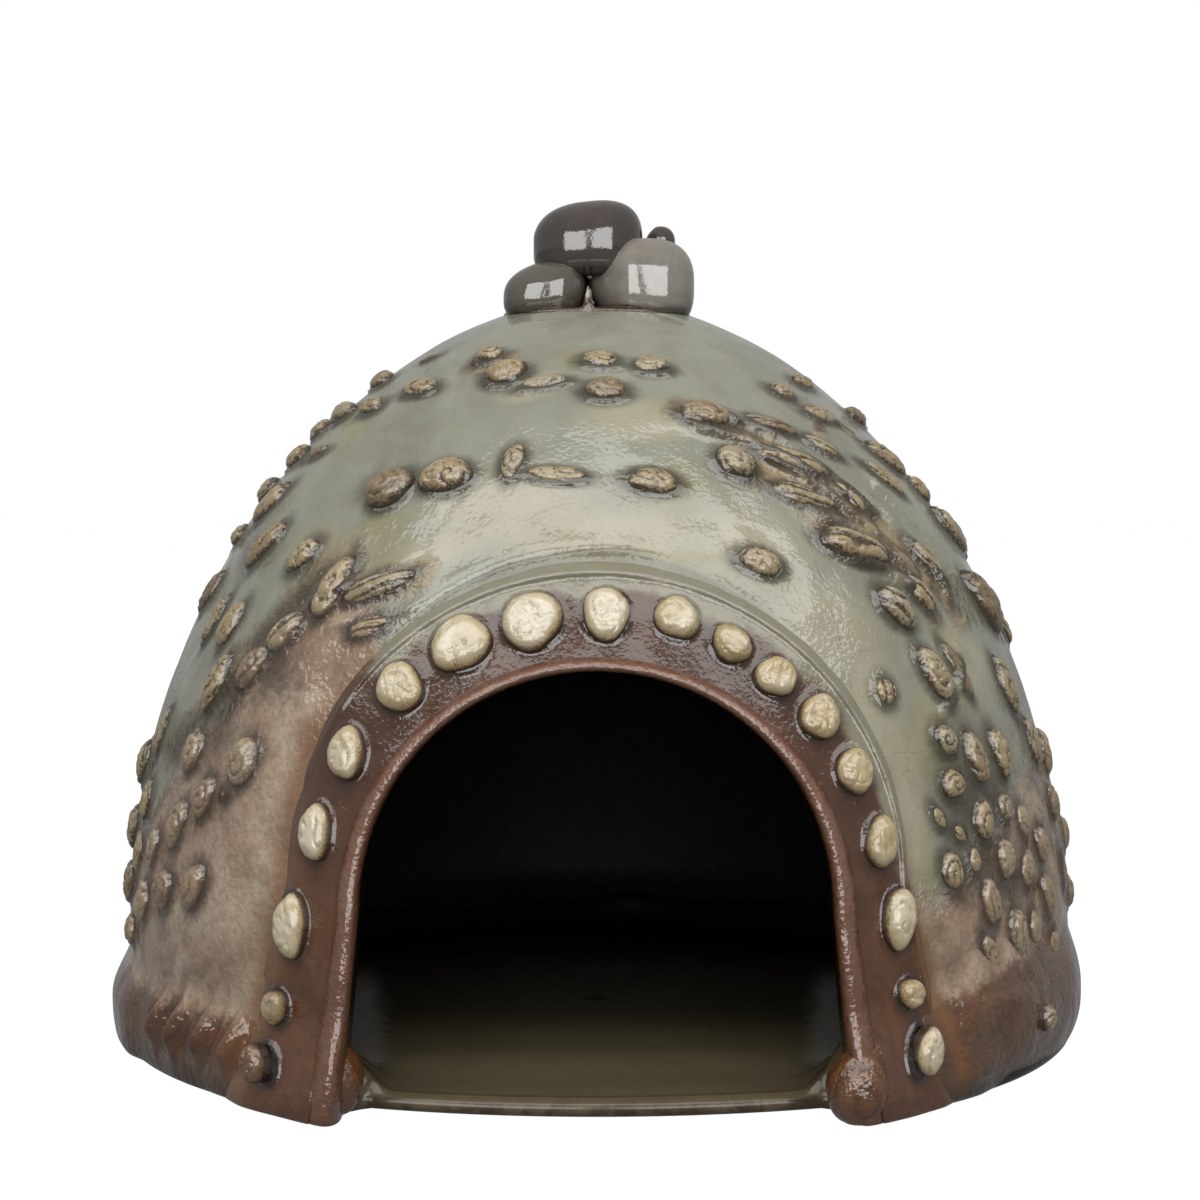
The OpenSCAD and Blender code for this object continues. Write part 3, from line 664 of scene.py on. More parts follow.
class Nodes:
    """Adds shader nodes to one tree. An input that is another node's socket is joined, and
    anything else is set on the socket."""

    def __init__(self, tree):
        self.tree = tree

    def give(self, socket, value):
        if isinstance(value, bpy.types.NodeSocket):
            self.tree.links.new(value, socket)
        else:
            socket.default_value = value

    def add(self, kind, inputs=None, **settings):
        node = self.tree.nodes.new(kind)
        for key, value in settings.items():
            setattr(node, key, value)
        for key, value in (inputs or {}).items():
            self.give(node.inputs[key], value)
        return node

    def math(self, operation, a, b=0.0, clamp=False):
        return self.add("ShaderNodeMath", {0: a, 1: b}, operation=operation,
                        use_clamp=clamp).outputs[0]

    def times(self, a, b):
        return self.math("MULTIPLY", a, b)

    def plus(self, a, b, clamp=False):
        return self.math("ADD", a, b, clamp)

    def most(self, a, b):
        return self.math("MAXIMUM", a, b)

    def swing(self, value, reach):
        """A value from 0 to 1, centred on 0 and scaled by reach."""
        return self.times(self.math("SUBTRACT", value, 0.5), reach)

    def step(self, value, low, high, to_low=0.0, to_high=1.0):
        """Smooth change from to_low at low to to_high at high."""
        return self.add("ShaderNodeMapRange", {
            "Value": value, "From Min": low, "From Max": high, "To Min": to_low,
            "To Max": to_high}, interpolation_type="SMOOTHSTEP").outputs["Result"]

    def mix(self, share, a, b):
        """Colour a where share is 0 and b where it is 1."""
        factor, first, second, colour_out = 0, 6, 7, 2
        return self.add("ShaderNodeMix", {factor: share, first: tint(a), second: tint(b)},
                        data_type="RGBA").outputs[colour_out]

    def lay(self, base, over, mask, share):
        """Colour base with over laid on it, as far as a share of the mask."""
        return self.mix(self.times(mask, share), base, over)

    def noise(self, place, scale, detail=2.0, roughness=0.5, distortion=0.0):
        return self.add("ShaderNodeTexNoise", {
            "Vector": place, "Scale": scale, "Detail": detail, "Roughness": roughness,
            "Distortion": distortion}).outputs["Fac"]

    def place(self):
        return self.add("ShaderNodeTexCoord").outputs["Object"]

    def read(self, name):
        return self.add("ShaderNodeAttribute", attribute_name=name).outputs["Fac"]

    def use(self, group, **inputs):
        node = self.add("ShaderNodeGroup", node_tree=group)
        for key, value in inputs.items():
            self.give(node.inputs[key], value)
        return node.outputs


def tint(value):
    """A colour socket's value from three numbers, or a socket as it is."""
    if isinstance(value, bpy.types.NodeSocket):
        return value
    return (*value, 1.0)


def shader_group(name, inputs, outputs, fill):
    """A shader node group, built once. inputs gives each value's default, and outputs the
    kind of each socket."""
    if name in bpy.data.node_groups:
        return bpy.data.node_groups[name]
    group = bpy.data.node_groups.new(name, "ShaderNodeTree")
    for key, default in inputs.items():
        socket = group.interface.new_socket(key, in_out="INPUT", socket_type="NodeSocketFloat")
        socket.default_value = default
    for key, kind in outputs.items():
        group.interface.new_socket(key, in_out="OUTPUT", socket_type=kind)
    nodes = Nodes(group)
    entry = nodes.add("NodeGroupInput").outputs
    leave = nodes.add("NodeGroupOutput")
    for key, socket in fill(nodes, entry).items():
        group.links.new(socket, leave.inputs[key])
    return group


def mottle_group():
    """Broad and fine cloudiness of a glaze, each about 0 to 1. Size is a cloud's width."""

    def fill(nodes, entry):
        place = nodes.place()
        scale = nodes.math("DIVIDE", 1.0, entry["Size"])
        broad = nodes.noise(place, scale, 3.0, 0.55, 0.6)
        fine = nodes.noise(place, nodes.times(scale, 5.0), 4.0, 0.6, 0.3)
        return {"Broad": nodes.step(broad, 0.32, 0.68), "Fine": nodes.step(fine, 0.3, 0.7)}

    return shader_group("Glaze mottle", {"Size": 0.02},
                        {"Broad": "NodeSocketFloat", "Fine": "NodeSocketFloat"}, fill)


def skin_group():
    """Height of a glaze's skin, in metres: orange peel of one size with finer grain, and a
    slow swell. Peel, Grain and Swell are depths, and Size is the peel's width."""

    def fill(nodes, entry):
        place = nodes.place()
        scale = nodes.math("DIVIDE", 1.0, entry["Size"])
        peel = nodes.noise(place, scale, 1.0, 0.5, 0.3)
        grain = nodes.noise(place, nodes.times(scale, 2.9), 1.0, 0.5)
        swell = nodes.noise(place, nodes.times(scale, 0.07), 1.0, 0.5, 0.5)
        high = nodes.times(peel, entry["Peel"])
        high = nodes.plus(high, nodes.times(grain, entry["Grain"]))
        high = nodes.plus(high, nodes.times(swell, entry["Swell"]))
        return {"Height": high}

    return shader_group("Glaze skin", {"Size": 0.0015, "Peel": 0.0001, "Grain": 0.00003,
                                       "Swell": 0.0004},
                        {"Height": "NodeSocketFloat"}, fill)


def crackle_group():
    """Thin crackle lines in a glaze, 1 on a line. Size is a cell's width and Line the share
    of it that a line takes."""

    def fill(nodes, entry):
        place = nodes.place()
        wide = 0.0025  # how far the lines bend
        bend = nodes.add("ShaderNodeTexNoise", {"Vector": place, "Scale": 160.0}).outputs[
            "Color"]
        bend = nodes.add("ShaderNodeVectorMath", {0: bend, 1: (wide, wide, wide)},
                         operation="MULTIPLY").outputs[0]
        moved = nodes.add("ShaderNodeVectorMath", {0: place, 1: bend},
                          operation="ADD").outputs[0]
        edge = nodes.add("ShaderNodeTexVoronoi", {
            "Vector": moved, "Scale": nodes.math("DIVIDE", 1.0, entry["Size"])},
            feature="DISTANCE_TO_EDGE").outputs["Distance"]
        line = nodes.math("SUBTRACT", 1.0, nodes.math(
            "DIVIDE", edge, entry["Line"], clamp=True), clamp=True)
        return {"Line": line}

    return shader_group("Glaze crackle", {"Size": 0.006, "Line": 0.03},
                        {"Line": "NodeSocketFloat"}, fill)


def blank_nodes(owner):
    """A maker of nodes for an owner's emptied tree."""
    owner.use_nodes = True
    owner.node_tree.nodes.clear()
    return Nodes(owner.node_tree)


def ceramic(name, ior=1.6):
    """A glazed material, the maker of its nodes and its shader, with the glaze's steady
    index."""
    material = bpy.data.materials.new(name)
    nodes = blank_nodes(material)
    shader = nodes.add("ShaderNodeBsdfPrincipled", {"IOR": ior})
    nodes.add("ShaderNodeOutputMaterial", {0: shader.outputs[0]})
    return material, nodes, shader


def finish_ceramic(nodes, shader, base, roughness, height):
    """Joins colour, roughness and relief to a ceramic's shader."""
    nodes.give(shader.inputs["Base Color"], base)
    nodes.give(shader.inputs["Roughness"], roughness)
    bump = nodes.add("ShaderNodeBump", {"Height": height, "Strength": 1.0, "Distance": 1.0})
    nodes.give(shader.inputs["Normal"], bump.outputs[0])


def wall_glaze():
    """Celadon that clouds to cream and moss, pools olive round the pellets, thins to mottled
    pinkish clay, breaks umber in brushed streaks and turns iron brown at the foot, as the wall's
    attributes say. The cream just above the arch also paints part of the sheen there, a painted
    highlight. Rust borders the doorway band at margin, a grey film lies on it at veil, and low is
    painted shade, dark near the ground. Each edge between the glazes wavers with the mottling."""
    c = colours()
    material, nodes, shader = ceramic("Wall_glaze")
    broad = nodes.use(mottle_group(), Size=0.020)
    small = nodes.use(mottle_group(), Size=0.0065)
    crackle = nodes.use(crackle_group(), Size=0.0095, Line=0.016)["Line"]
    waver = nodes.math("SUBTRACT", nodes.plus(
        nodes.times(broad["Broad"], 0.55), nodes.times(small["Broad"], 0.45)), 0.5)
    fleck = nodes.math("SUBTRACT", small["Fine"], 0.5)

    def area(name, low, high, wave, flecks=0.12):
        """The mask of an attribute, whose edge from low to high wavers and is flecked."""
        moved = nodes.plus(nodes.read(name), nodes.times(waver, wave))
        return nodes.step(nodes.plus(moved, nodes.times(fleck, flecks)), low, high)

    cream = area("cream", 0.15, 0.85, 0.45)
    moss = area("moss", 0.2, 0.95, 0.5)
    umber = area("umber", 0.15, 1.0, 0.5, 0.1)
    clay = area("clay", 0.25, 0.75, 0.35, 0.25)
    pool = area("pool", 0.12, 1.0, 0.2)
    foot = area("foot", 0.15, 0.85, 0.4, 0.3)
    glaze = nodes.lay(c.celadon, c.celadon_deep, broad["Broad"], 0.55)
    # Cream patches, which above the arch also stand for part of the sheen, a painted highlight.
    glaze = nodes.lay(glaze, c.cream, cream, 0.45)
    glaze = nodes.lay(glaze, c.moss, moss, 0.65)
    glaze = nodes.lay(glaze, c.olive, small["Broad"], 0.10)
    claystone = nodes.mix(nodes.step(small["Broad"], 0.0, 1.0, 0.0, 0.42), c.clay, c.umber)
    for cloud, low, high, share, over in (
            (broad["Broad"], 0.4, 0.85, 0.65, c.clay_pale),
            (broad["Fine"], 0.2, 0.9, 0.25, c.clay_pale),
            (small["Fine"], 0.2, 0.8, 0.22, c.iron_light)):
        claystone = nodes.mix(nodes.step(cloud, low, high, 0.0, share), claystone, over)
    base = nodes.mix(clay, glaze, claystone)
    streak = nodes.mix(nodes.step(small["Broad"], 0.2, 0.9, 0.0, 0.75), c.umber, c.pellet)
    base = nodes.lay(base, streak, umber, 0.95)
    line = nodes.times(crackle, nodes.plus(0.02, nodes.times(cream, 0.22)))
    line = nodes.times(line, nodes.step(broad["Broad"], 0.40, 0.75))
    base = nodes.mix(line, base, c.olive)
    dark = nodes.mix(clay, c.olive, c.iron_dark)
    base = nodes.lay(base, dark, pool, 0.9)
    brown = nodes.lay(c.iron, c.iron_dark, broad["Fine"], 0.8)
    brown = nodes.mix(nodes.step(small["Broad"], 0.2, 0.8, 0.0, 0.6), brown, c.umber)
    brown = nodes.lay(brown, c.iron_light, small["Fine"], 0.4)
    base = nodes.mix(foot, base, brown)
    base = nodes.lay(base, c.iron_light, nodes.read("margin"), 0.8)
    film = nodes.lay(c.celadon_deep, c.umber, small["Broad"], 0.5)
    base = nodes.lay(base, film, nodes.read("veil"), 0.8)
    # Painted shade: low darkens the bottom of the foot roll near the ground.
    base = nodes.lay(base, c.iron_dark, nodes.read("low"), 0.8)
    rough = nodes.plus(0.035, nodes.times(clay, 0.035))
    skin = nodes.use(skin_group(), Size=0.0009, Peel=0.00011, Grain=0.000015,
                     Swell=0.0012)["Height"]
    coarse = nodes.use(skin_group(), Size=0.0013, Peel=0.00030, Grain=0.00005,
                       Swell=0.0010)["Height"]
    bare = nodes.most(nodes.most(clay, umber), nodes.times(foot, 0.6))
    high = nodes.plus(skin, nodes.times(coarse, nodes.times(bare, 0.75)))
    finish_ceramic(nodes, shader, base, rough, high)
    return material


def chamber_shade():
    """Near-black painted shade for the chamber's inner face, with little shine."""
    c = colours()
    material, nodes, shader = ceramic("Chamber_shade", ior=1.2)
    mottle = nodes.use(mottle_group(), Size=0.02)
    base = nodes.lay(c.inside, c.stone_dark, mottle["Fine"], 0.5)
    base = nodes.mix(0.85, base, c.inside)
    skin = nodes.use(skin_group(), Size=0.004, Peel=0.0001, Grain=0.0, Swell=0.0006)
    finish_ceramic(nodes, shader, base, 0.5, skin["Height"])
    return material


def iron_glaze(name, main, dark, light, size=0.009, peel=0.00009, veil=0.0):
    """Iron-brown glaze, darker in its clouds and rusty on edges. size is a cloud's width and
    peel the depth of the orange peel. veil is the share of pale wall glaze that may lie over
    it where the veil attribute says."""
    c = colours()
    material, nodes, shader = ceramic(name)
    mottle = nodes.use(mottle_group(), Size=size)
    base = nodes.lay(main, dark, mottle["Broad"], 0.55)
    base = nodes.lay(base, light, mottle["Fine"], 0.3)
    base = nodes.lay(base, light, nodes.read("edge"), 0.8)
    base = nodes.lay(base, c.iron_dark, nodes.read("pool"), 0.9)
    # Pool past 0.78 goes near black: the dark seam round each doorway pebble, and painted shade
    # on the bead's jamb.
    base = nodes.mix(nodes.step(nodes.read("pool"), 0.78, 1.0, 0.0, 0.75), base, c.inside)
    if veil:
        over = nodes.plus(nodes.read("veil"), nodes.swing(mottle["Broad"], 0.5))
        pale = nodes.lay(c.celadon, c.moss, mottle["Fine"], 0.6)
        base = nodes.lay(base, pale, nodes.step(over, 0.3, 0.8), veil)
    rough = nodes.plus(0.08, nodes.times(mottle["Fine"], 0.05))
    skin = nodes.use(skin_group(), Size=0.0008, Peel=peel, Grain=0.00002, Swell=0.0006)
    finish_ceramic(nodes, shader, base, rough, skin["Height"])
    return material


def pellet_glaze():
    """Wall pellets: tan or grey where the top is worn, dark in grooves and at the skirt."""
    c = colours()
    material, nodes, shader = ceramic("Pellet_glaze")
    small = nodes.use(mottle_group(), Size=0.0030)
    worn = nodes.plus(nodes.read("worn"), nodes.swing(small["Fine"], 0.7))
    worn = nodes.step(worn, 0.1, 0.85)
    tone = nodes.read("tint")
    high = nodes.mix(nodes.step(tone, 0.35, 1.0), c.pellet, c.pellet_grey)
    high = nodes.mix(nodes.step(tone, 0.0, 0.3, 0.6, 0.0), high, c.umber)
    high = nodes.lay(high, c.iron_light, small["Broad"], 0.25)
    base = nodes.mix(worn, c.pellet_dark, high)
    base = nodes.lay(base, c.clay, nodes.read("clay"), 0.35)
    base = nodes.mix(nodes.step(nodes.read("skirt"), 0.85, 1.0, 0.0, 0.8), base, c.olive)
    skin = nodes.use(skin_group(), Size=0.0008, Peel=0.00009, Grain=0.00002, Swell=0.0002)
    finish_ceramic(nodes, shader, base, 0.06, skin["Height"])
    return material


def shell_glaze():
    """Doorway pebbles: cream to golden tan, with brown in the grooves and at the skirt."""
    c = colours()
    material, nodes, shader = ceramic("Door_pebble_glaze")
    small = nodes.use(mottle_group(), Size=0.0045)
    fine = nodes.use(mottle_group(), Size=0.0016)
    worn = nodes.plus(nodes.read("worn"), nodes.swing(fine["Fine"], 0.5))
    worn = nodes.step(worn, 0.0, 0.75)
    gold = nodes.plus(nodes.read("gold"), nodes.swing(small["Broad"], 0.6), clamp=True)
    pale = nodes.mix(gold, c.shell, c.shell_gold)
    pale = nodes.mix(nodes.step(nodes.read("skirt"), 0.45, 0.9, 0.0, 0.55), pale,
                     c.shell_gold)
    dirty = nodes.mix(nodes.read("brown"), pale, c.iron)
    groove = nodes.mix(nodes.read("brown"), c.shell_dark, c.iron_dark)
    base = nodes.mix(worn, groove, dirty)
    base = nodes.mix(nodes.step(nodes.read("skirt"), 0.93, 1.0, 0.0, 0.9), base,
                     c.iron_dark)
    skin = nodes.use(skin_group(), Size=0.0009, Peel=0.00006, Grain=0.00002, Swell=0.0005)
    finish_ceramic(nodes, shader, base, 0.08, skin["Height"])
    return material


def stone_glaze(name, main, deep):
    """Smooth glazed stone, a little darker in its clouds and dark at its seams."""
    material, nodes, shader = ceramic(name, ior=1.8)
    mottle = nodes.use(mottle_group(), Size=0.009)
    base = nodes.lay(main, deep, mottle["Broad"], 0.4)
    base = nodes.lay(base, deep, mottle["Fine"], 0.15)
    base = nodes.lay(base, colours().seam, nodes.read("low"), 0.9)
    skin = nodes.use(skin_group(), Size=0.0007, Peel=0.00002, Grain=0.000006,
                     Swell=0.0003)
    finish_ceramic(nodes, shader, base, 0.05, skin["Height"])
    return material


def floor_glaze():
    """Floor: glossy olive brown, with painted light just inside the doorway (lit), painted shade
    going near black deeper in (inside), a grey strip of painted light beside the jambs, and tan
    on the sill's worn edge."""
    c = colours()
    material, nodes, shader = ceramic("Floor_glaze", ior=1.4)
    mottle = nodes.use(mottle_group(), Size=0.016)
    # Painted light just inside the doorway.
    base = nodes.lay(c.floor, c.painted_floor_light, nodes.read("lit"), 0.9)
    base = nodes.lay(base, c.umber, mottle["Broad"], 0.12)
    # Painted shade deeper in the chamber, going near black.
    base = nodes.mix(nodes.read("inside"), base, c.inside)
    # Painted light: the grey strip beside each jamb.
    base = nodes.lay(base, c.painted_jamb_light, nodes.read("painted_jamb_light"), 0.9)
    rim = nodes.mix(mottle["Fine"], c.pellet_dark, c.floor)
    base = nodes.mix(nodes.read("edge"), base, rim)
    skin = nodes.use(skin_group(), Size=0.0035, Peel=0.00003, Grain=0.0, Swell=0.0003)
    finish_ceramic(nodes, shader, base, 0.14, skin["Height"])
    return material


# ---- Pieces ----


class TOADHOUSE_OT_floor(bpy.types.Operator):
    """Builds the thin floor slab, cut back in an arc at the doorway"""

    bl_idname = "toad_house.floor"
    bl_label = "Floor"

    def execute(self, context):
        """Rings round the middle. Each ring's radius is a share of the slab's edge, which is the
        sill's arc in the doorway and the slab's circle elsewhere. The top swells up the wall and
        the jambs, the edge is a half round, and the underside is flat. Painted light (lit) and
        painted shade (inside) follow the depth, and a grey strip of painted light, standing for
        the lit jambs, lies beside them."""
        s = sizes()
        around = 480
        azimuth = np.linspace(-math.pi, math.pi, around, endpoint=False)

        def rings(radius, high):
            """Points round the middle at a radius and a height."""
            return np.stack(np.broadcast_arrays(
                radius * np.sin(azimuth), -radius * np.cos(azimuth), high), -1)

        ahead = s.sill_radius - s.sill_reach
        sill = -ahead * np.cos(azimuth) + np.sqrt(
            s.sill_radius ** 2 - (ahead * np.sin(azimuth)) ** 2)
        side = smooth(np.abs(np.degrees(azimuth)), 27.0, 30.0)
        edge = sill + (s.floor_radius - sill) * side
        sill_round, slab_round = 0.0011, 0.0006
        inner = edge - sill_round * (1 - side) - slab_round * side
        share = np.concatenate([np.linspace(0.04, 0.80, 26), np.linspace(0.81, 1, 40)])
        radius = share[:, None] * inner
        x, y = radius * np.sin(azimuth), -radius * np.cos(azimuth)
        top = np.full_like(radius, s.floor_top)
        wave = (0.0011 * np.sin(azimuth * 3 + 0.4) + 0.0007 * np.sin(azimuth * 8 + 2)
                + 0.0004 * np.sin(azimuth * 17))
        wall = s.wall_radius - s.wall_thickness
        climb = smooth(radius, wall - 0.0042, wall - 0.0002)
        top += climb ** 2 * (0.0052 + wave) * side
        jamb = smooth(np.abs(x), s.door_foot - 0.0095, s.door_foot - 0.001) * smooth(
            -y, 0.045, 0.066)
        top += jamb ** 2 * 0.0050
        lip = smooth(share[:, None], 0.955, 0.985) * (1 - smooth(share[:, None], 0.985, 1))
        top += 0.0002 * lip * (1 - side)
        top += 0.00015 * lumps(np.stack([x, y, top], -1), 0.02, 21)
        top = np.where(radius > wall + 0.001, s.floor_top, top)
        rounded = [rings(inner + (edge - inner) * math.cos(angle),
                         s.floor_top / 2 * (1 + math.sin(angle)))[None]
                   for angle in np.radians([60, 35, 10, -20, -50, -80])]
        under = [rings(inner * near, 0.0)[None] for near in (0.97, 0.6, 0.2)]
        points = np.concatenate([rings(radius, top), *rounded, *under])
        count, flat = len(points), len(share)
        worn, dark, lit, painted_jamb_light = (np.zeros((count, around)) for _ in range(4))
        worn[flat - 5:flat + 1] = (1 - side) * 0.3
        worn[flat + 1:] = 1 - side
        # Painted shade: inside grows from the doorway to the back and near the jambs, and is full
        # at the two poles.
        depth = between(y, [(-0.045, 0), (-0.030, 0.23), (-0.020, 0.60), (-0.010, 0.76),
                            (0.010, 0.84), (0.045, 1)])
        dark[:flat] = np.maximum(depth, 0.45 * jamb)
        dark[flat:] = side
        # Painted light on the floor just inside the doorway.
        lit[:flat] = smooth(y, -0.068, -0.044)
        # Painted light: the grey strip beside each jamb, placed by its direction from the
        # camera's place.
        painted_jamb_light[:flat] = smooth(np.abs(x) / (0.45 + y) - 0.05 * y, 0.088, 0.096) * smooth(
            y, -0.062, -0.046) * (1 - smooth(y, 0.0, 0.035))
        values = padded({"edge": worn, "inside": dark, "lit": lit, "painted_jamb_light": painted_jamb_light}, 2)
        values["inside"][-2:] = 1
        points = np.concatenate([points.reshape(-1, 3), [[0, 0, s.floor_top], [0, 0, 0]]])
        piece("floor", points, closed_faces(count, around, down=True), floor_glaze(),
              ["floor_slab"], values)
        return {"FINISHED"}


class TOADHOUSE_OT_wall(bpy.types.Operator):
    """Builds the hollow dome with its doorway"""

    bl_idname = "toad_house.wall"
    bl_label = "Dome wall"

    def execute(self, context):
        """Columns run from the wall's lower edge to the crown, evenly along the dome's
        curve. In the doorway the lower edge is the arch, under the band outside and just
        behind the bead inside. The outer face moves out by the hand-built unevenness,
        swells round each pellet, folds along brushed ridges, is lumpy low on the right and
        rolls over the band's edge; the inner face is the chamber's curve."""
        s = sizes()
        turn = np.linspace(-1, 1, 141)
        x, z = band_arch(turn, 0.5, s.floor_top)
        out_azimuth, out_low = np.arcsin(x / dome_radius(z)), z
        x, z = door_arch(turn, 0.0003, s.floor_top)
        in_azimuth, in_low = np.arcsin(x / chamber_radius(z)), z
        share = np.concatenate([np.linspace(0, 0.2, 132, endpoint=False),
                                np.linspace(0.2, 0.8, 90, endpoint=False),
                                np.linspace(0.8, 1, 133)])[1:-1]

        def whole_turn(azimuth):
            """Azimuths of the doorway's columns, then of those round the rest of the wall."""
            rest = azimuth[-1] + (2 * math.pi - azimuth[-1] + azimuth[0]) * share
            return np.concatenate([azimuth, rest])

        out_azimuth, in_azimuth = whole_turn(out_azimuth), whole_turn(in_azimuth)
        level = np.full(len(share), s.floor_top)
        out_low, in_low = np.concatenate([out_low, level]), np.concatenate([in_low, level])
        columns = len(out_azimuth)

        def heights(low, high, rows, radius):
            """Heights of rows from low to high, evenly spaced along a curve of radius."""
            table = low.min() + (high - low.min()) * np.sin(np.linspace(0, math.pi / 2, 600))
            run = np.hypot(np.diff(table), np.diff(radius(table)))
            run = np.concatenate([[0], np.cumsum(run)])
            start = np.interp(low, table, run)
            step = np.linspace(0, 1, rows)[:, None]
            return np.interp(start + (run[-1] - start) * step, run, table)

        rows = 172
        z = heights(out_low, s.crown_height, rows, dome_radius)
        azimuth = np.broadcast_to(
            (out_azimuth + math.pi) % (2 * math.pi) - math.pi, z.shape)
        place = round_dome(azimuth, z, 0.0)
        seats = [seat_of(p) for n in WALL_NODES for p in solids_of(n)]
        swell = near_pellets(place, seats, 0.0015)
        lip, seam, veil = band_lip(place)
        pool = np.maximum.reduce([
            0.95 * near_pellets(place, seats, 0.0034),
            0.85 * spots(azimuth, z, POOL_SPOTS), 0.7 * seam,
            0.85 * strokes(azimuth, z, POOL_STROKES)])
        clay = clay_share(azimuth, z + 0.0045 * lumps(place, 0.017, 37))
        fold = strokes(azimuth, z, FOLDS)
        rough = lumps(place, 0.004, 33)
        lumpy = np.clip(lumps(place, 0.0075, 31) + 0.25, 0, 1)
        degrees = np.degrees(azimuth)
        far = smooth(degrees, 56, 64) * smooth(0.050 - z, 0, 0.008)
        far = far * smooth(100 - degrees, 0, 12)
        calm = smooth(s.crown_height - z, 0.0, 0.006)
        out = (hand(place) + 0.00055 * swell ** 2
               + fold * (0.0011 + 0.0004 * rough) + 0.0010 * far * lumpy
               + 0.00025 * lip - 0.0003 * seam + 0.00012 * clay * rough) * calm
        outer = round_dome(azimuth, z, out)
        # A smaller ring closes the crown, and a rim joins the two faces' lower edges
        cap = outer[-1] * [0.55, 0.55, 1] + [0, 0, -0.0002]
        in_rows = 14
        iz = heights(in_low, s.crown_height - s.roof_thickness - 1e-5, in_rows,
                     chamber_radius)
        radius = chamber_radius(iz)
        inner = np.stack([radius * np.sin(in_azimuth), -radius * np.cos(in_azimuth), iz], -1)
        points = np.concatenate([outer.reshape(-1, 3), cap, inner.reshape(-1, 3),
                                 [[0, 0, s.crown_height - 0.0002],
                                  [0, 0, s.crown_height - s.roof_thickness]]])
        base = (rows + 1) * columns
        ring = np.arange(columns)
        rim = np.stack([np.roll(ring, -1), ring, base + ring, base + np.roll(ring, -1)], -1)
        faces = [grid_faces(rows + 1, columns),
                 fan_faces(rows * columns + ring, len(points) - 2),
                 grid_faces(in_rows, columns, base)[:, ::-1], rim,
                 fan_faces(base + (in_rows - 1) * columns + ring, len(points) - 1,
                           flip=True)]
        outside = len(faces[0]) + len(faces[1])
        values = padded({
            "pool": pool, "clay": clay, "umber": strokes(azimuth, z, UMBER_STROKES),
            "cream": spots(azimuth, z, CREAM_AND_SHEEN_SPOTS), "moss": spots(azimuth, z, MOSS_SPOTS),
            "foot": foot_share(azimuth, z, place), "margin": band_margin(place),
            "veil": veil, "low": np.zeros_like(z)}, len(points) - rows * columns)
        made = piece("wall", points, faces, wall_glaze(), ["dome_shell"],
                     values)
        # The inner face takes the chamber's painted shade.
        made.data.materials.append(chamber_shade())
        number = np.ones(len(made.data.polygons), np.int32)
        number[:outside] = 0
        made.data.polygons.foreach_set("material_index", number)
        return {"FINISHED"}


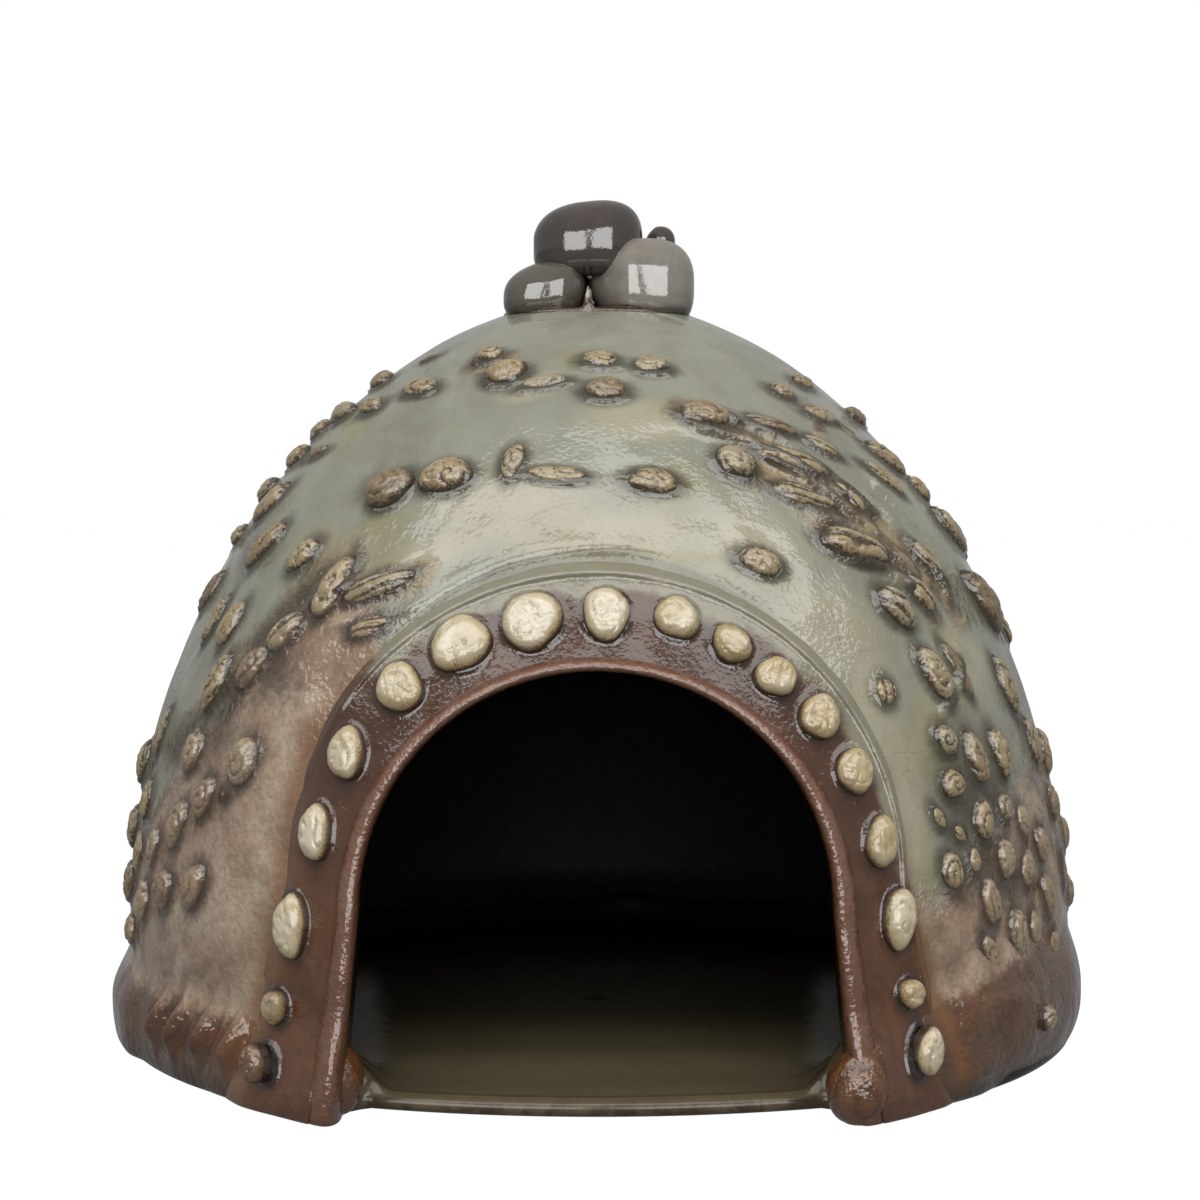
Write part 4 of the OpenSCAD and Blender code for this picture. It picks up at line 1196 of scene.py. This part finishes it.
class TOADHOUSE_OT_foot(bpy.types.Operator):
    """Builds the foot roll with its pleats and pad"""

    bl_idname = "toad_house.foot"
    bl_label = "Foot roll"

    def execute(self, context):
        """A profile of height is carried round the wall from one side of the doorway to the
        other: it stands on the ground, swells to its full reach, then fades into the wall.
        The height of its fullest place, its fade and its undercut change with the azimuth.
        Leaning ridges stand out of it at the pleats, a flat square at the pad, and lumps of
        two sizes everywhere; both ends and the back are closed inside the wall."""
        s = sizes()
        end = math.radians(36)
        azimuth = np.linspace(end, 2 * math.pi - end, 700)
        azimuth = (azimuth + math.pi) % (2 * math.pi) - math.pi
        degrees = np.degrees(azimuth)
        level = np.concatenate([[0.0002, 0.0007, 0.0014], np.linspace(0.0024, 0.030, 40)])
        z = level[:, None] * np.ones_like(azimuth)
        full = azimuth * np.ones_like(z)
        place = round_dome(full, z, 0.0)
        wander = 0.0012 * lumps(place, 0.024, 41)
        middle = between(degrees, [(-180, 0.0085), (-90, 0.0062), (-40, 0.0066),
                                   (40, 0.0090), (100, 0.0090), (180, 0.0085)])
        middle = middle + 0.5 * wander
        under = np.clip((middle - z) / middle, 0, 1)
        slope = between(degrees, [(-180, 0.0100), (36, 0.0100), (48, 0.0165), (70, 0.0175),
                                  (110, 0.0120), (180, 0.0100)])
        over = smooth(z, middle + 0.001, middle + slope + wander)
        fade = smooth(np.abs(degrees), 38, 47)
        proud = s.roll_proud * (0.90 - 0.08 * lumps(place, 0.018, 42)
                                - 0.05 * lumps(place, 0.006, 43))
        proud = proud * (0.75 + 0.25 * fade) * (1 - 0.35 * smooth(
            16 - np.abs(degrees + 51), 0, 5))
        cut = between(degrees, [(-180, 0.0016), (-90, 0.0008), (-50, 0.0005), (45, 0.0012),
                                (52, 0.0026), (75, 0.0020), (180, 0.0016)])
        out = proud * (1 - over) - cut * under ** 2
        out = out - 0.0004 * np.clip(1 - z / 0.0010, 0, 1) ** 2
        out = out + hand(place) * over - 0.0006 * smooth(z, 0.021, 0.029)
        pleat, hollow = np.zeros_like(z), np.zeros_like(z)
        for node in PLEAT_NODES:
            centre, along, across, _, long, wide, _ = seat_of(solids_of(node)[0])
            gap = place - centre
            a = (gap @ along) / (long / 2)
            b = (gap @ across) / (wide / 2)
            pleat = np.maximum(pleat, np.exp(-np.abs(a) ** 3 - 1.3 * b ** 2))
            hollow = np.maximum(hollow, np.exp(-(np.abs(a / 1.15) ** 3)) * np.exp(
                -((np.abs(b) - 1.15) / 0.35) ** 2))
        pad_low, pad_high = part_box("roll_pad")
        pad_from = math.degrees(math.atan2(pad_low.x, -pad_low.y))
        pad_to = math.degrees(math.atan2(pad_high.x, -pad_high.y))
        across = (degrees - pad_from) / (pad_to - pad_from) * 2 - 1
        pad = smooth(1.2 - np.abs(across), 0, 0.3) * smooth(
            0.0072 - np.abs(z - 0.0095), 0, 0.0018)
        out = out + 0.0022 * pleat * (1 - 0.4 * over) - 0.0008 * hollow + 0.0006 * pad
        out = out + toe(z) * 0.36 * (1 - smooth(np.abs(degrees), 38, 49))
        surface = place.copy()
        widest = 0.0899  # the roll stays inside its CAD box
        reach = widest / np.maximum(np.abs(np.sin(azimuth)), np.abs(np.cos(azimuth)))
        scale = np.minimum(dome_radius(z) + out, reach) / dome_radius(z)
        surface[..., :2] *= scale[..., None]
        back = round_dome(azimuth, level[[-1, 0]][:, None], -0.0025)
        points, faces = tube(np.concatenate([surface, back]))
        # low is painted shade, darkening the roll towards the ground.
        values = {
            "foot": foot_share(azimuth, z, place), "clay": clay_share(full, z),
            "pool": hollow * 0.5, "umber": np.zeros_like(z),
            "cream": spots(full, z, CREAM_AND_SHEEN_SPOTS),
            "moss": np.zeros_like(z), "low": smooth(0.006 - z, 0.0, 0.006),
            "margin": band_margin(place), "veil": np.zeros_like(z)}
        values = padded(values, 2 * len(azimuth) + 2)
        piece("foot_roll_glazed", points, faces, bpy.data.materials["Wall_glaze"],
              ["foot_roll", "roll_pad", *PLEAT_NODES], values)
        return {"FINISHED"}


class TOADHOUSE_OT_door_feet(bpy.types.Operator):
    """Builds the clay balls at the doorway's feet"""

    bl_idname = "toad_house.door_feet"
    bl_label = "Doorway feet"

    def execute(self, context):
        """A globe of rows and columns, drawn up to a point above like a drop, its radius
        changed by lumps and a swirl of finger marks, and flat at the ground."""
        around, rows = 72, 48
        turn = np.linspace(0, 2 * math.pi, around, endpoint=False)
        angle = np.linspace(-math.pi / 2, math.pi / 2, rows + 2)[1:-1, None]
        unit = np.stack(np.broadcast_arrays(np.cos(angle) * np.cos(turn),
                                            np.cos(angle) * np.sin(turn), np.sin(angle)), -1)
        c = colours()
        rust = iron_glaze("Rust_glaze", c.rust, c.iron, c.iron_light, 0.005, 0.00028)
        for name, side, strong, stretch, shift in (
                ("left", -1, 0.35, (0.95, 1.0, 1.06), (-0.0006, 0.0046, 0.0006)),
                ("right", 1, 1.0, (1, 1, 1), (0, 0, 0))):
            node = f"ball_{name}"
            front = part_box(node)[0].y
            radius = np.array([0.0050, 0.0052, 0.0060]) * stretch
            middle = np.array([side * 0.0407, front + 0.0056, 0.0056]) + shift
            marks = 11 * np.arccos(np.clip(unit @ [0.2 * side, -0.9, -0.3], -1, 1))
            swirl = np.sin(marks + 1.6 * lumps(unit, 0.6, 52) + 1.2 * turn)
            swell = (0.98 + 0.04 * lumps(unit + side, 0.8, 51) + 0.014 * swirl * strong)
            shape = unit * swell[..., None]
            rise = np.clip(shape[..., 2], 0, None)
            shape[..., :2] *= (1 - 0.12 * rise ** 2)[..., None]
            shape[..., 2] += 0.15 * rise ** 3
            shape[..., 0] += side * 0.15 * rise ** 2
            points = middle + shape * radius
            tip = [side * 0.15 * radius[0], 0, 1.15 * radius[2]]
            poles = middle + np.array([[0, 0, -radius[2]], tip])
            points = np.concatenate([points.reshape(-1, 3), poles])
            points[:, 2] = np.maximum(points[:, 2], 0.0002)
            values = padded({"edge": smooth(swirl, 0.2, 1) * 0.5 * strong,
                             "pool": smooth(-swirl, 0.3, 1) * 0.45 * strong}, 2)
            piece(f"door_foot_{name}", points, closed_faces(rows, around), rust,
                  [node], values)
        return {"FINISHED"}


class TOADHOUSE_OT_door_band(bpy.types.Operator):
    """Builds the flat band round the doorway"""

    bl_idname = "toad_house.door_band"
    bl_label = "Doorway band"

    def execute(self, context):
        """Across the band the height is a shallow trough between the bead's foot and a thin
        raised rim at the outer edge, then falls to just under the wall, steeply at the top
        and right and gently where soft. The profile is carried round the arch, and a line
        deep in the wall closes it. Rust follows its edge, and a pale veil its top."""
        s = sizes()
        turn = np.linspace(-1, 1, 480)
        across = np.linspace(-0.06, 1.04, 44)
        rim = np.exp(-((across - 0.93) / 0.04) ** 2)
        height = s.band_proud * (0.62 + 0.35 * np.abs(across - 0.45) ** 2) + 0.0006 * rim
        x, z = np.stack([band_arch(turn, a, 0.0003) for a in across], axis=1)
        x = x + np.sign(x) * 0.0028 * smooth(0.012 - z, 0, 0.011) * np.clip(
            across[:, None], 0, 1) * np.where(x < 0, 1, 0.4)
        soft = np.maximum(smooth(-turn, 0.30, 0.50), smooth(0.018 - z, 0, 0.008))
        rim, height, wide = rim[:, None], height[:, None], across[:, None]
        steep = np.where(wide > 0.96, height * smooth(1.05 - wide, 0, 0.09) - 0.0003, height)
        gentle = (height - 0.0006 * rim) * smooth(1.03 - wide, 0, 0.30) - 0.0002 * (
            wide > 0.98)
        height = steep * (1 - soft) + gentle * soft
        rim = rim * (1 - 0.8 * soft)
        seats = [seat_of(solids_of(n)[0]) for n in DOOR_NODES]
        place = through_front(x, z, np.full_like(x, s.band_proud))
        swell = near_pellets(place, seats, 0.0011)
        pool = near_pellets(place, seats, 0.0018)
        worn = 0.00018 * lumps(place, 0.004, 61) + 0.0003 * lumps(place, 0.012, 62)
        out = height + 0.0005 * swell ** 2 + worn
        out = out + toe(z) * (1.15 - 0.6 * np.clip(wide, 0, 1))
        surface = through_front(x, z, out)
        deep = through_front(x[[-1, 0]], z[[-1, 0]], np.full((2, len(turn)), -0.002))
        points, faces = tube(np.concatenate([surface, deep])[::-1])
        upper = 1 - smooth(np.abs(turn), 0.40, 0.72)
        side = smooth(np.abs(turn), 0.45, 0.6)
        edge = np.maximum(rim * (0.4 + 0.6 * side), side * np.where(
            turn < 0, smooth(wide, 0.42, 0.90), 0.9 * smooth(wide, 0.80, 0.97)))
        veil = smooth(wide, 0.45, 0.92) * smooth(turn, -0.38, -0.26) * (
            1 - smooth(turn, 0.5, 0.7))
        dark = np.maximum(pool, 0.55 * upper + 0.15 * lumps(place, 0.01, 63))
        pad = np.zeros((2, len(turn)))
        values = {"edge": edge, "pool": np.clip(dark, 0, 1), "veil": veil}
        values = padded({key: np.concatenate([value, pad])[::-1]
                         for key, value in values.items()}, 2)
        c = colours()
        glaze = iron_glaze("Band_glaze", c.iron, c.iron_dark, c.iron_light, 0.010, 0.00009,
                           veil=0.75)
        piece("door_band_glazed", points, faces, glaze, ["door_band"], values)
        return {"FINISHED"}


class TOADHOUSE_OT_door_bead(bpy.types.Operator):
    """Builds the rolled bead on the doorway's edge, and the jamb behind it"""

    bl_idname = "toad_house.door_bead"
    bl_label = "Doorway bead"

    def execute(self, context):
        """The profile is half an oval from the band's edge over to the opening, then runs
        straight back through the wall as the jamb, and returns inside the wall."""
        s = sizes()
        turn = np.linspace(-1, 1, 480)
        angle = np.radians(np.linspace(-8, 188, 30))
        inner_x, inner_z = door_arch(turn, 0.0, 0.0003)
        outer_x, outer_z = bead_arch(turn, 0.0003)
        share = 0.5 + 0.5 * np.cos(angle)[:, None]
        x = inner_x + (outer_x - inner_x) * share
        z = inner_z + (outer_z - inner_z) * share
        crest = np.sin(np.clip(angle, 0.0, math.pi))[:, None]
        place = through_front(x, z, np.zeros_like(x))
        out = (s.bead_proud + 0.0004) * crest ** 0.7
        out = out * (1 - 0.5 * smooth(0.014 - z, 0, 0.012))
        out = out * (1 + 0.09 * lumps(place, 0.012, 71)) - 0.0004
        out = out + toe(z) * np.where(angle[:, None] < math.pi / 2, 1.13, 0.25 + 0.88 * crest)
        surface = through_front(x, z, out)
        depth = np.linspace(0, 1, 8)[1:, None]
        jamb_y = -np.sqrt(np.clip(chamber_radius(inner_z) ** 2 - inner_x ** 2, 0, None))
        jamb = np.stack(np.broadcast_arrays(
            inner_x + 0 * depth, surface[-1, :, 1] + (jamb_y + 0.0004 - surface[-1, :, 1])
            * depth, inner_z + 0 * depth), -1)
        back_x, back_z = door_arch(turn, 0.0016, 0.0003)
        behind = np.stack([
            np.stack([back_x, jamb_y + 0.0002, back_z], -1),
            np.stack([outer_x, surface[0, :, 1] + 0.0015, outer_z], -1)])
        points, faces = tube(np.concatenate([surface, jamb, behind]))
        ridge = crest ** 5 * np.ones_like(turn) * (0.55 - 0.35 * smooth(
            np.abs(turn), 0.5, 0.8))
        ridge = np.concatenate([ridge, np.zeros((9, len(turn)))])
        # Painted shade: dark is full on the jamb that runs back into the doorway and rises over
        # the bead's inner side towards it; it is also a little darker where the bead meets the
        # band.
        dark = np.zeros_like(ridge)
        dark[len(angle):] = 1
        dark[:4] = [[0.5], [0.3], [0.15], [0.05]]
        dark[len(angle) - 5:len(angle)] = [[0.15], [0.35], [0.6], [0.8], [1]]
        c = colours()
        glaze = iron_glaze("Bead_glaze", c.bead, c.iron, c.bead_light, 0.007, 0.00022)
        piece("door_bead_glazed", points, faces, glaze, ["door_bead"],
              padded({"edge": ridge, "pool": dark}, 2))
        return {"FINISHED"}


# How golden and how brown each doorway pebble is, from the left foot over to the right foot
DOOR_TONES = [(0.8, 0.85), (0.8, 0.35), (0.35, 0.0), (0.1, 0.0), (0.35, 0.0), (0.6, 0.0),
              (0.3, 0.0), (0.0, 0.0), (0.0, 0.0), (0.5, 0.0), (0.75, 0.1), (0.7, 0.0),
              (0.75, 0.0), (0.7, 0.0), (0.6, 0.0), (0.35, 0.0), (0.6, 0.0), (0.15, 0.0)]


class TOADHOUSE_OT_door_pebbles(bpy.types.Operator):
    """Presses the cream pebbles into the doorway band"""

    bl_idname = "toad_house.door_pebbles"
    bl_label = "Doorway pebbles"

    def execute(self, context):
        """Each pebble is a flat-topped oval with a coil, seated where its CAD solid sits.
        Their colours run from pale cream at the top of the arch to golden tan."""
        glaze = shell_glaze()
        look = {"around": 64, "rows": 30, "round": 0.50, "turns": 1.4, "coil": 0.45,
                "fold": 0.0, "wrinkle": 0.45, "grow": 1.10}
        for i, node in enumerate(DOOR_NODES):
            centre, along, across, out, *span = seat_of(solids_of(node)[0])
            centre = centre + out * toe(centre[2]) * 0.85
            seats = [(centre, along, across, out, *span)]
            points, faces, values = pressed(seats, look, 900 + 31 * i, 0.0003)
            gold, brown = DOOR_TONES[i]
            values["gold"] = np.full(len(points), gold)
            values["brown"] = np.full(len(points), brown)
            piece(f"pebble_on_band_{i + 1:02d}", points, faces, glaze,
                  [node], values)
        return {"FINISHED"}


class TOADHOUSE_OT_wall_pellets(bpy.types.Operator):
    """Presses the clay pellets on the wall"""

    bl_idname = "toad_house.wall_pellets"
    bl_label = "Wall pellets"

    def execute(self, context):
        """Each pellet is a round-topped oval with a coil, or with folds along it where it is
        leaf-like, seated where its CAD solid sits."""
        glaze = pellet_glaze()
        for i, node in enumerate([*WALL_NODES, "roll_pebble"]):
            leafy = node in ("pebbles_leaf_folds", "pebbles_garland_left",
                             "pebbles_shoulder_right")
            back = node.startswith("pebbles_back")
            look = {"around": 30 if back else 52, "rows": 11 if back else 20, "round": 0.80,
                    "turns": 2.1, "coil": 0.15 if leafy else 0.8,
                    "fold": 0.9 if leafy else 0.0, "wrinkle": 0.6, "grow": 1.12}
            seats = [seat_of(p) for p in solids_of(node)]
            points, faces, values = pressed(seats, look, 100 + 503 * i, taller=1.25)
            azimuth = np.arctan2(points[:, 0], -points[:, 1])
            values["clay"] = clay_share(azimuth, points[:, 2])
            name = node.replace("pebbles", "pellets").replace("roll_pebble", "pellet_on_roll")
            piece(name, points, faces, glaze, [node], values)
        return {"FINISHED"}


def stone(low, high, seed, square, slope, point, cut):
    """A smooth stone that fills the box from low to high. Its rings are ellipses whose
    cosines and sines are raised to square, which makes it boxy below 1. Its height grows
    towards +X by slope, its -X end narrows by point, and the share cut of its height lies
    under the box and is cut off flat. Also gives how near each point is to the base."""
    rows, around = 56, 84
    turn = np.linspace(0, 2 * math.pi, around, endpoint=False)
    angle = np.linspace(-math.pi / 2, math.pi / 2, rows + 2)[1:-1, None]

    def bent(value):
        """A cosine or sine raised to square, with its sign kept."""
        return np.sign(value) * np.abs(value) ** square

    ring = np.cos(angle) ** square
    shape = np.stack(np.broadcast_arrays(ring * bent(np.cos(turn)), ring * bent(
        np.sin(turn)), bent(np.sin(angle))), -1)
    shape = np.concatenate([shape.reshape(-1, 3), [[0, 0, -1], [0, 0, 1]]])
    shape = shape * (1 + 0.03 * lumps(shape + seed, 1.2, seed))[:, None]
    taper = 1 - point * smooth(-shape[:, 0], 0.2, 1.0)
    shape[:, 1:] *= taper[:, None]
    half = (high - low) / 2
    tall = (high[2] - low[2]) / (1 - cut)
    points = np.empty_like(shape)
    points[:, :2] = (low + half)[:2] + shape[:, :2] * half[:2]
    up = (shape[:, 2] + 1) / 2 * (1 + slope * (shape[:, 0] - 1) / 2)
    points[:, 2] = high[2] - tall + tall * up
    points = np.clip(points, low, high)
    near = 1 - smooth(points[:, 2] - low[2], 0.0004, 0.0022)
    return points, closed_faces(rows, around), near


class TOADHOUSE_OT_knob(bpy.types.Operator):
    """Builds the knob: a clay pad and five stacked stones"""

    bl_idname = "toad_house.knob"
    bl_label = "Knob"

    def execute(self, context):
        """Each stone fills its CAD solid's box. The pad is a disc of rings whose glaze swells up
        where it meets a stone, with a thin raised web between the front two whose pale colour is
        a painted highlight."""
        c = colours()
        glazes = {
            "dark": stone_glaze("Dark_stone", c.stone_dark, c.seam),
            "olive": stone_glaze("Olive_stone", c.stone_olive, c.stone_dark),
            "grey": stone_glaze("Grey_stone", c.stone_grey, c.stone_olive)}
        # Node, colour, the five numbers that stone() takes, and how far the top is lowered
        for i, (node, kind, square, slope, point, cut, drop) in enumerate((
                ("knob_top", "dark", 0.78, 0.12, 0.0, 0.10, 0.0003),
                ("knob_left", "olive", 0.78, 0.30, 0.0, 0.12, 0.0),
                ("knob_right", "grey", 0.72, -0.04, 0.34, 0.18, 0.0010),
                ("knob_back", "dark", 0.80, 0.0, 0.0, 0.2, 0.0),
                ("knob_small", "dark", 0.9, 0.0, 0.2, 0.1, 0.0))):
            low, high = (np.array(v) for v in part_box(node))
            high[2] -= drop
            if node == "knob_top":
                low[2] -= 0.0030
            elif node != "knob_small":
                low[2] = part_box("knob_pad")[0].z + 0.0002
            points, faces, near = stone(low, high, 80 + i, square, slope, point, cut)
            piece(f"stone_{node[5:]}", points, faces, glazes[kind], [node],
                  {"low": near})
        low, high = (np.array(v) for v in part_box("knob_pad"))
        turn = np.linspace(0, 2 * math.pi, 200, endpoint=False)
        high[2] -= 0.0007
        radius = (high[0] - low[0]) / 2 * (1 - 0.24 * np.clip(np.cos(turn), 0, 1) ** 1.5)
        share = np.linspace(0.03, 0.95, 40)
        tops = np.stack([share, np.ones_like(share)], -1)
        profile = np.concatenate([tops, [[0.985, 0.8], [1.0, 0.4], [1.0, -0.3],
                                         [0.5, -0.3]]])
        reach = profile[:, :1] * radius
        tall = low[2] + (high[2] - low[2]) * profile[:, 1:] * np.ones_like(turn)
        rings = np.stack([reach * np.sin(turn), -reach * np.cos(turn), tall], -1)
        near = np.zeros(rings.shape[:2])
        for node in ("knob_left", "knob_right", "knob_back"):
            one, two = (np.array(v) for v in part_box(node))
            gap = (rings - (one + two) / 2)[..., :2] / ((two - one) / 2)[:2]
            apart = np.abs(np.linalg.norm(gap, axis=-1) - 0.9)
            near = near + np.exp(-(apart / 0.22) ** 2)
        rings[:40, :, 2] += 0.0013 * np.clip(near[:40], 0, 2) ** 1.5 / 1.6 * smooth(
            0.97 - share, 0, 0.1)[:, None]
        # A thin raised web of glaze between the front two stones; its pale colour, through veil,
        # is a painted highlight.
        web = np.exp(-((rings[..., 0] + 0.0016) / 0.0006) ** 2) * smooth(
            -rings[..., 1], 0.0035, 0.0075) * (rings[..., 2] > low[2] + 0.0006)
        rings[..., 2] += 0.0040 * web
        points = np.concatenate([rings.reshape(-1, 3), [[0, 0, high[2]], [0, 0, low[2]]]])
        faces = closed_faces(len(profile), len(turn), down=True)
        pad = iron_glaze("Knob_clay", c.seam, c.inside, c.iron_light, 0.006, veil=0.9)
        worn = np.zeros_like(web)
        worn[41:43] = 0.3
        piece("knob_pad_glazed", points, faces, pad, ["knob_pad"],
              padded({"edge": worn, "pool": np.zeros_like(web), "veil": web}, 2))
        return {"FINISHED"}


# ---- Stage ----


def shown(nodes, share):
    """1 for what the camera sees, directly or through glass, and share for reflections."""
    path = nodes.add("ShaderNodeLightPath").outputs
    seen = nodes.most(path["Is Camera Ray"], path["Is Transmission Ray"])
    return nodes.most(seen, nodes.times(path["Is Glossy Ray"], share))


def softbox(name, place, aim, wide, tall, glow, shine=False):
    """A plain rectangular lamp at place that faces aim and glows at a strength. One with
    shine is only seen as a reflection, and any other only lights."""
    light = bpy.data.lights.new(name, "AREA")
    light.shape = "RECTANGLE"
    light.size, light.size_y, light.energy = wide, tall, glow * wide * tall * math.pi
    lamp = bpy.data.objects.new(name, light)
    bpy.context.scene.collection.objects.link(lamp)
    lamp.location = place
    lamp.visible_camera = False
    lamp.visible_glossy, lamp.visible_diffuse = shine, not shine
    away = np.array(place) - np.array(aim)
    lamp.rotation_euler = (math.atan2(math.hypot(away[0], away[1]), away[2]), 0,
                           math.atan2(away[0], -away[1]))
    return lamp


class TOADHOUSE_OT_stage(bpy.types.Operator):
    """Sets up the pale floor, the soft lamps, the world and the camera"""

    bl_idname = "toad_house.stage"
    bl_label = "Stage"

    def execute(self, context):
        """The floor and the world look white to the camera, dimmer in reflections, and the
        floor still darkens under the house. Three softboxes light it from above, in front
        and behind. Two panes and a wide sheen are only seen as reflections, and the sheen
        skips the stones."""
        scene = bpy.context.scene
        world = bpy.data.worlds.new("Studio")
        scene.world = world
        nodes = blank_nodes(world)
        strength = nodes.most(shown(nodes, 0.40), 0.30)
        sky = nodes.add("ShaderNodeBackground", {"Color": (1, 1, 1, 1), "Strength": strength})
        nodes.add("ShaderNodeOutputWorld", {0: sky.outputs[0]})

        mesh = bpy.data.meshes.new("ground")
        half = 6.0
        mesh.from_pydata([(-half, -half, 0), (half, -half, 0), (half, half, 0),
                          (-half, half, 0)], [], [(0, 1, 2, 3)])
        ground = bpy.data.objects.new("ground", mesh)
        scene.collection.objects.link(ground)
        material = bpy.data.materials.new("Pale_floor")
        nodes = blank_nodes(material)
        seen = shown(nodes, 0.2)
        cloth = nodes.add("ShaderNodeBsdfDiffuse", {"Color": (0.12, 0.12, 0.12, 1)})
        glow = nodes.add("ShaderNodeEmission", {
            "Color": (1, 1, 1, 1), "Strength": nodes.times(seen, 0.96)})
        both = nodes.add("ShaderNodeAddShader", {0: cloth.outputs[0], 1: glow.outputs[0]})
        nodes.add("ShaderNodeOutputMaterial", {0: both.outputs[0]})
        mesh.materials.append(material)

        middle = (0.0, 0.0, 0.09)
        softbox("Top_softbox", (0.02, -0.36, 0.92), middle, 1.05, 0.36, 5.2)
        softbox("Front_softbox", (0.0, -0.86, 0.27), middle, 1.00, 0.54, 2.3)
        softbox("Left_pane", (-0.29, -0.86, 0.27), middle, 0.54, 0.54, 4.6, shine=True)
        softbox("Right_pane", (0.29, -0.86, 0.27), middle, 0.54, 0.54, 4.6, shine=True)
        sheen = softbox("Sheen", (-0.05, -0.58, 0.95), (-0.05, -0.58, 0.0), 2.6, 0.76, 2.8,
                        shine=True)
        glazed = bpy.data.collections.new("Under_the_sheen")
        for thing in bpy.data.objects:
            if thing.type == "MESH" and not thing.name.startswith("stone_"):
                glazed.objects.link(thing)
        softbox("Back_softbox", (0.0, 0.95, 0.60), middle, 1.4, 0.9, 1.3)
        sheen.light_linking.receiver_collection = glazed

        camera = bpy.data.objects.new("Camera", bpy.data.cameras.new("Camera"))
        scene.collection.objects.link(camera)
        camera.data.sensor_width = 36.0
        camera.data.lens = 72.06
        camera.location = (0.0006, -0.450, 0.1001)
        tip = 2.83  # degrees that the camera looks down
        camera.rotation_euler = (math.radians(90 - tip), 0, 0)
        camera.data.clip_start, camera.data.clip_end = 0.01, 30
        scene.camera = camera
        scene.view_settings.view_transform = "Standard"
        return {"FINISHED"}


OPERATORS = [TOADHOUSE_OT_floor, TOADHOUSE_OT_wall, TOADHOUSE_OT_foot,
             TOADHOUSE_OT_door_feet, TOADHOUSE_OT_door_band, TOADHOUSE_OT_door_bead,
             TOADHOUSE_OT_door_pebbles, TOADHOUSE_OT_wall_pellets, TOADHOUSE_OT_knob,
             TOADHOUSE_OT_stage]


class TOADHOUSE_PT_panel(bpy.types.Panel):
    """Lists the toad house's sizes, colours and pieces"""

    bl_idname = "TOADHOUSE_PT_panel"
    bl_label = "Toad House"
    bl_space_type = "VIEW_3D"
    bl_region_type = "UI"
    bl_category = "Toad House"

    def draw(self, context):
        for group in (context.scene.toad_house_sizes, context.scene.toad_house_colours):
            box = self.layout.box()
            for key in group.bl_rna.properties.keys():
                if key not in ("rna_type", "name"):
                    box.prop(group, key)
        for operator in OPERATORS:
            self.layout.operator(operator.bl_idname)


CLASSES = [ToadHouseSizes, ToadHouseColours, *OPERATORS, TOADHOUSE_PT_panel]


def register():
    """Adds the classes and the two property groups."""
    for one in CLASSES:
        bpy.utils.register_class(one)
    bpy.types.Scene.toad_house_sizes = bpy.props.PointerProperty(type=ToadHouseSizes)
    bpy.types.Scene.toad_house_colours = bpy.props.PointerProperty(type=ToadHouseColours)


def unregister():
    """Removes them again."""
    del bpy.types.Scene.toad_house_sizes
    del bpy.types.Scene.toad_house_colours
    for one in reversed(CLASSES):
        bpy.utils.unregister_class(one)


def main():
    """Builds every piece."""
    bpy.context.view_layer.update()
    register()
    for operator in OPERATORS:
        group, name = operator.bl_idname.split(".")
        getattr(getattr(bpy.ops, group), name)()
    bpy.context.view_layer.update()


if __name__ == "__main__":
    main()
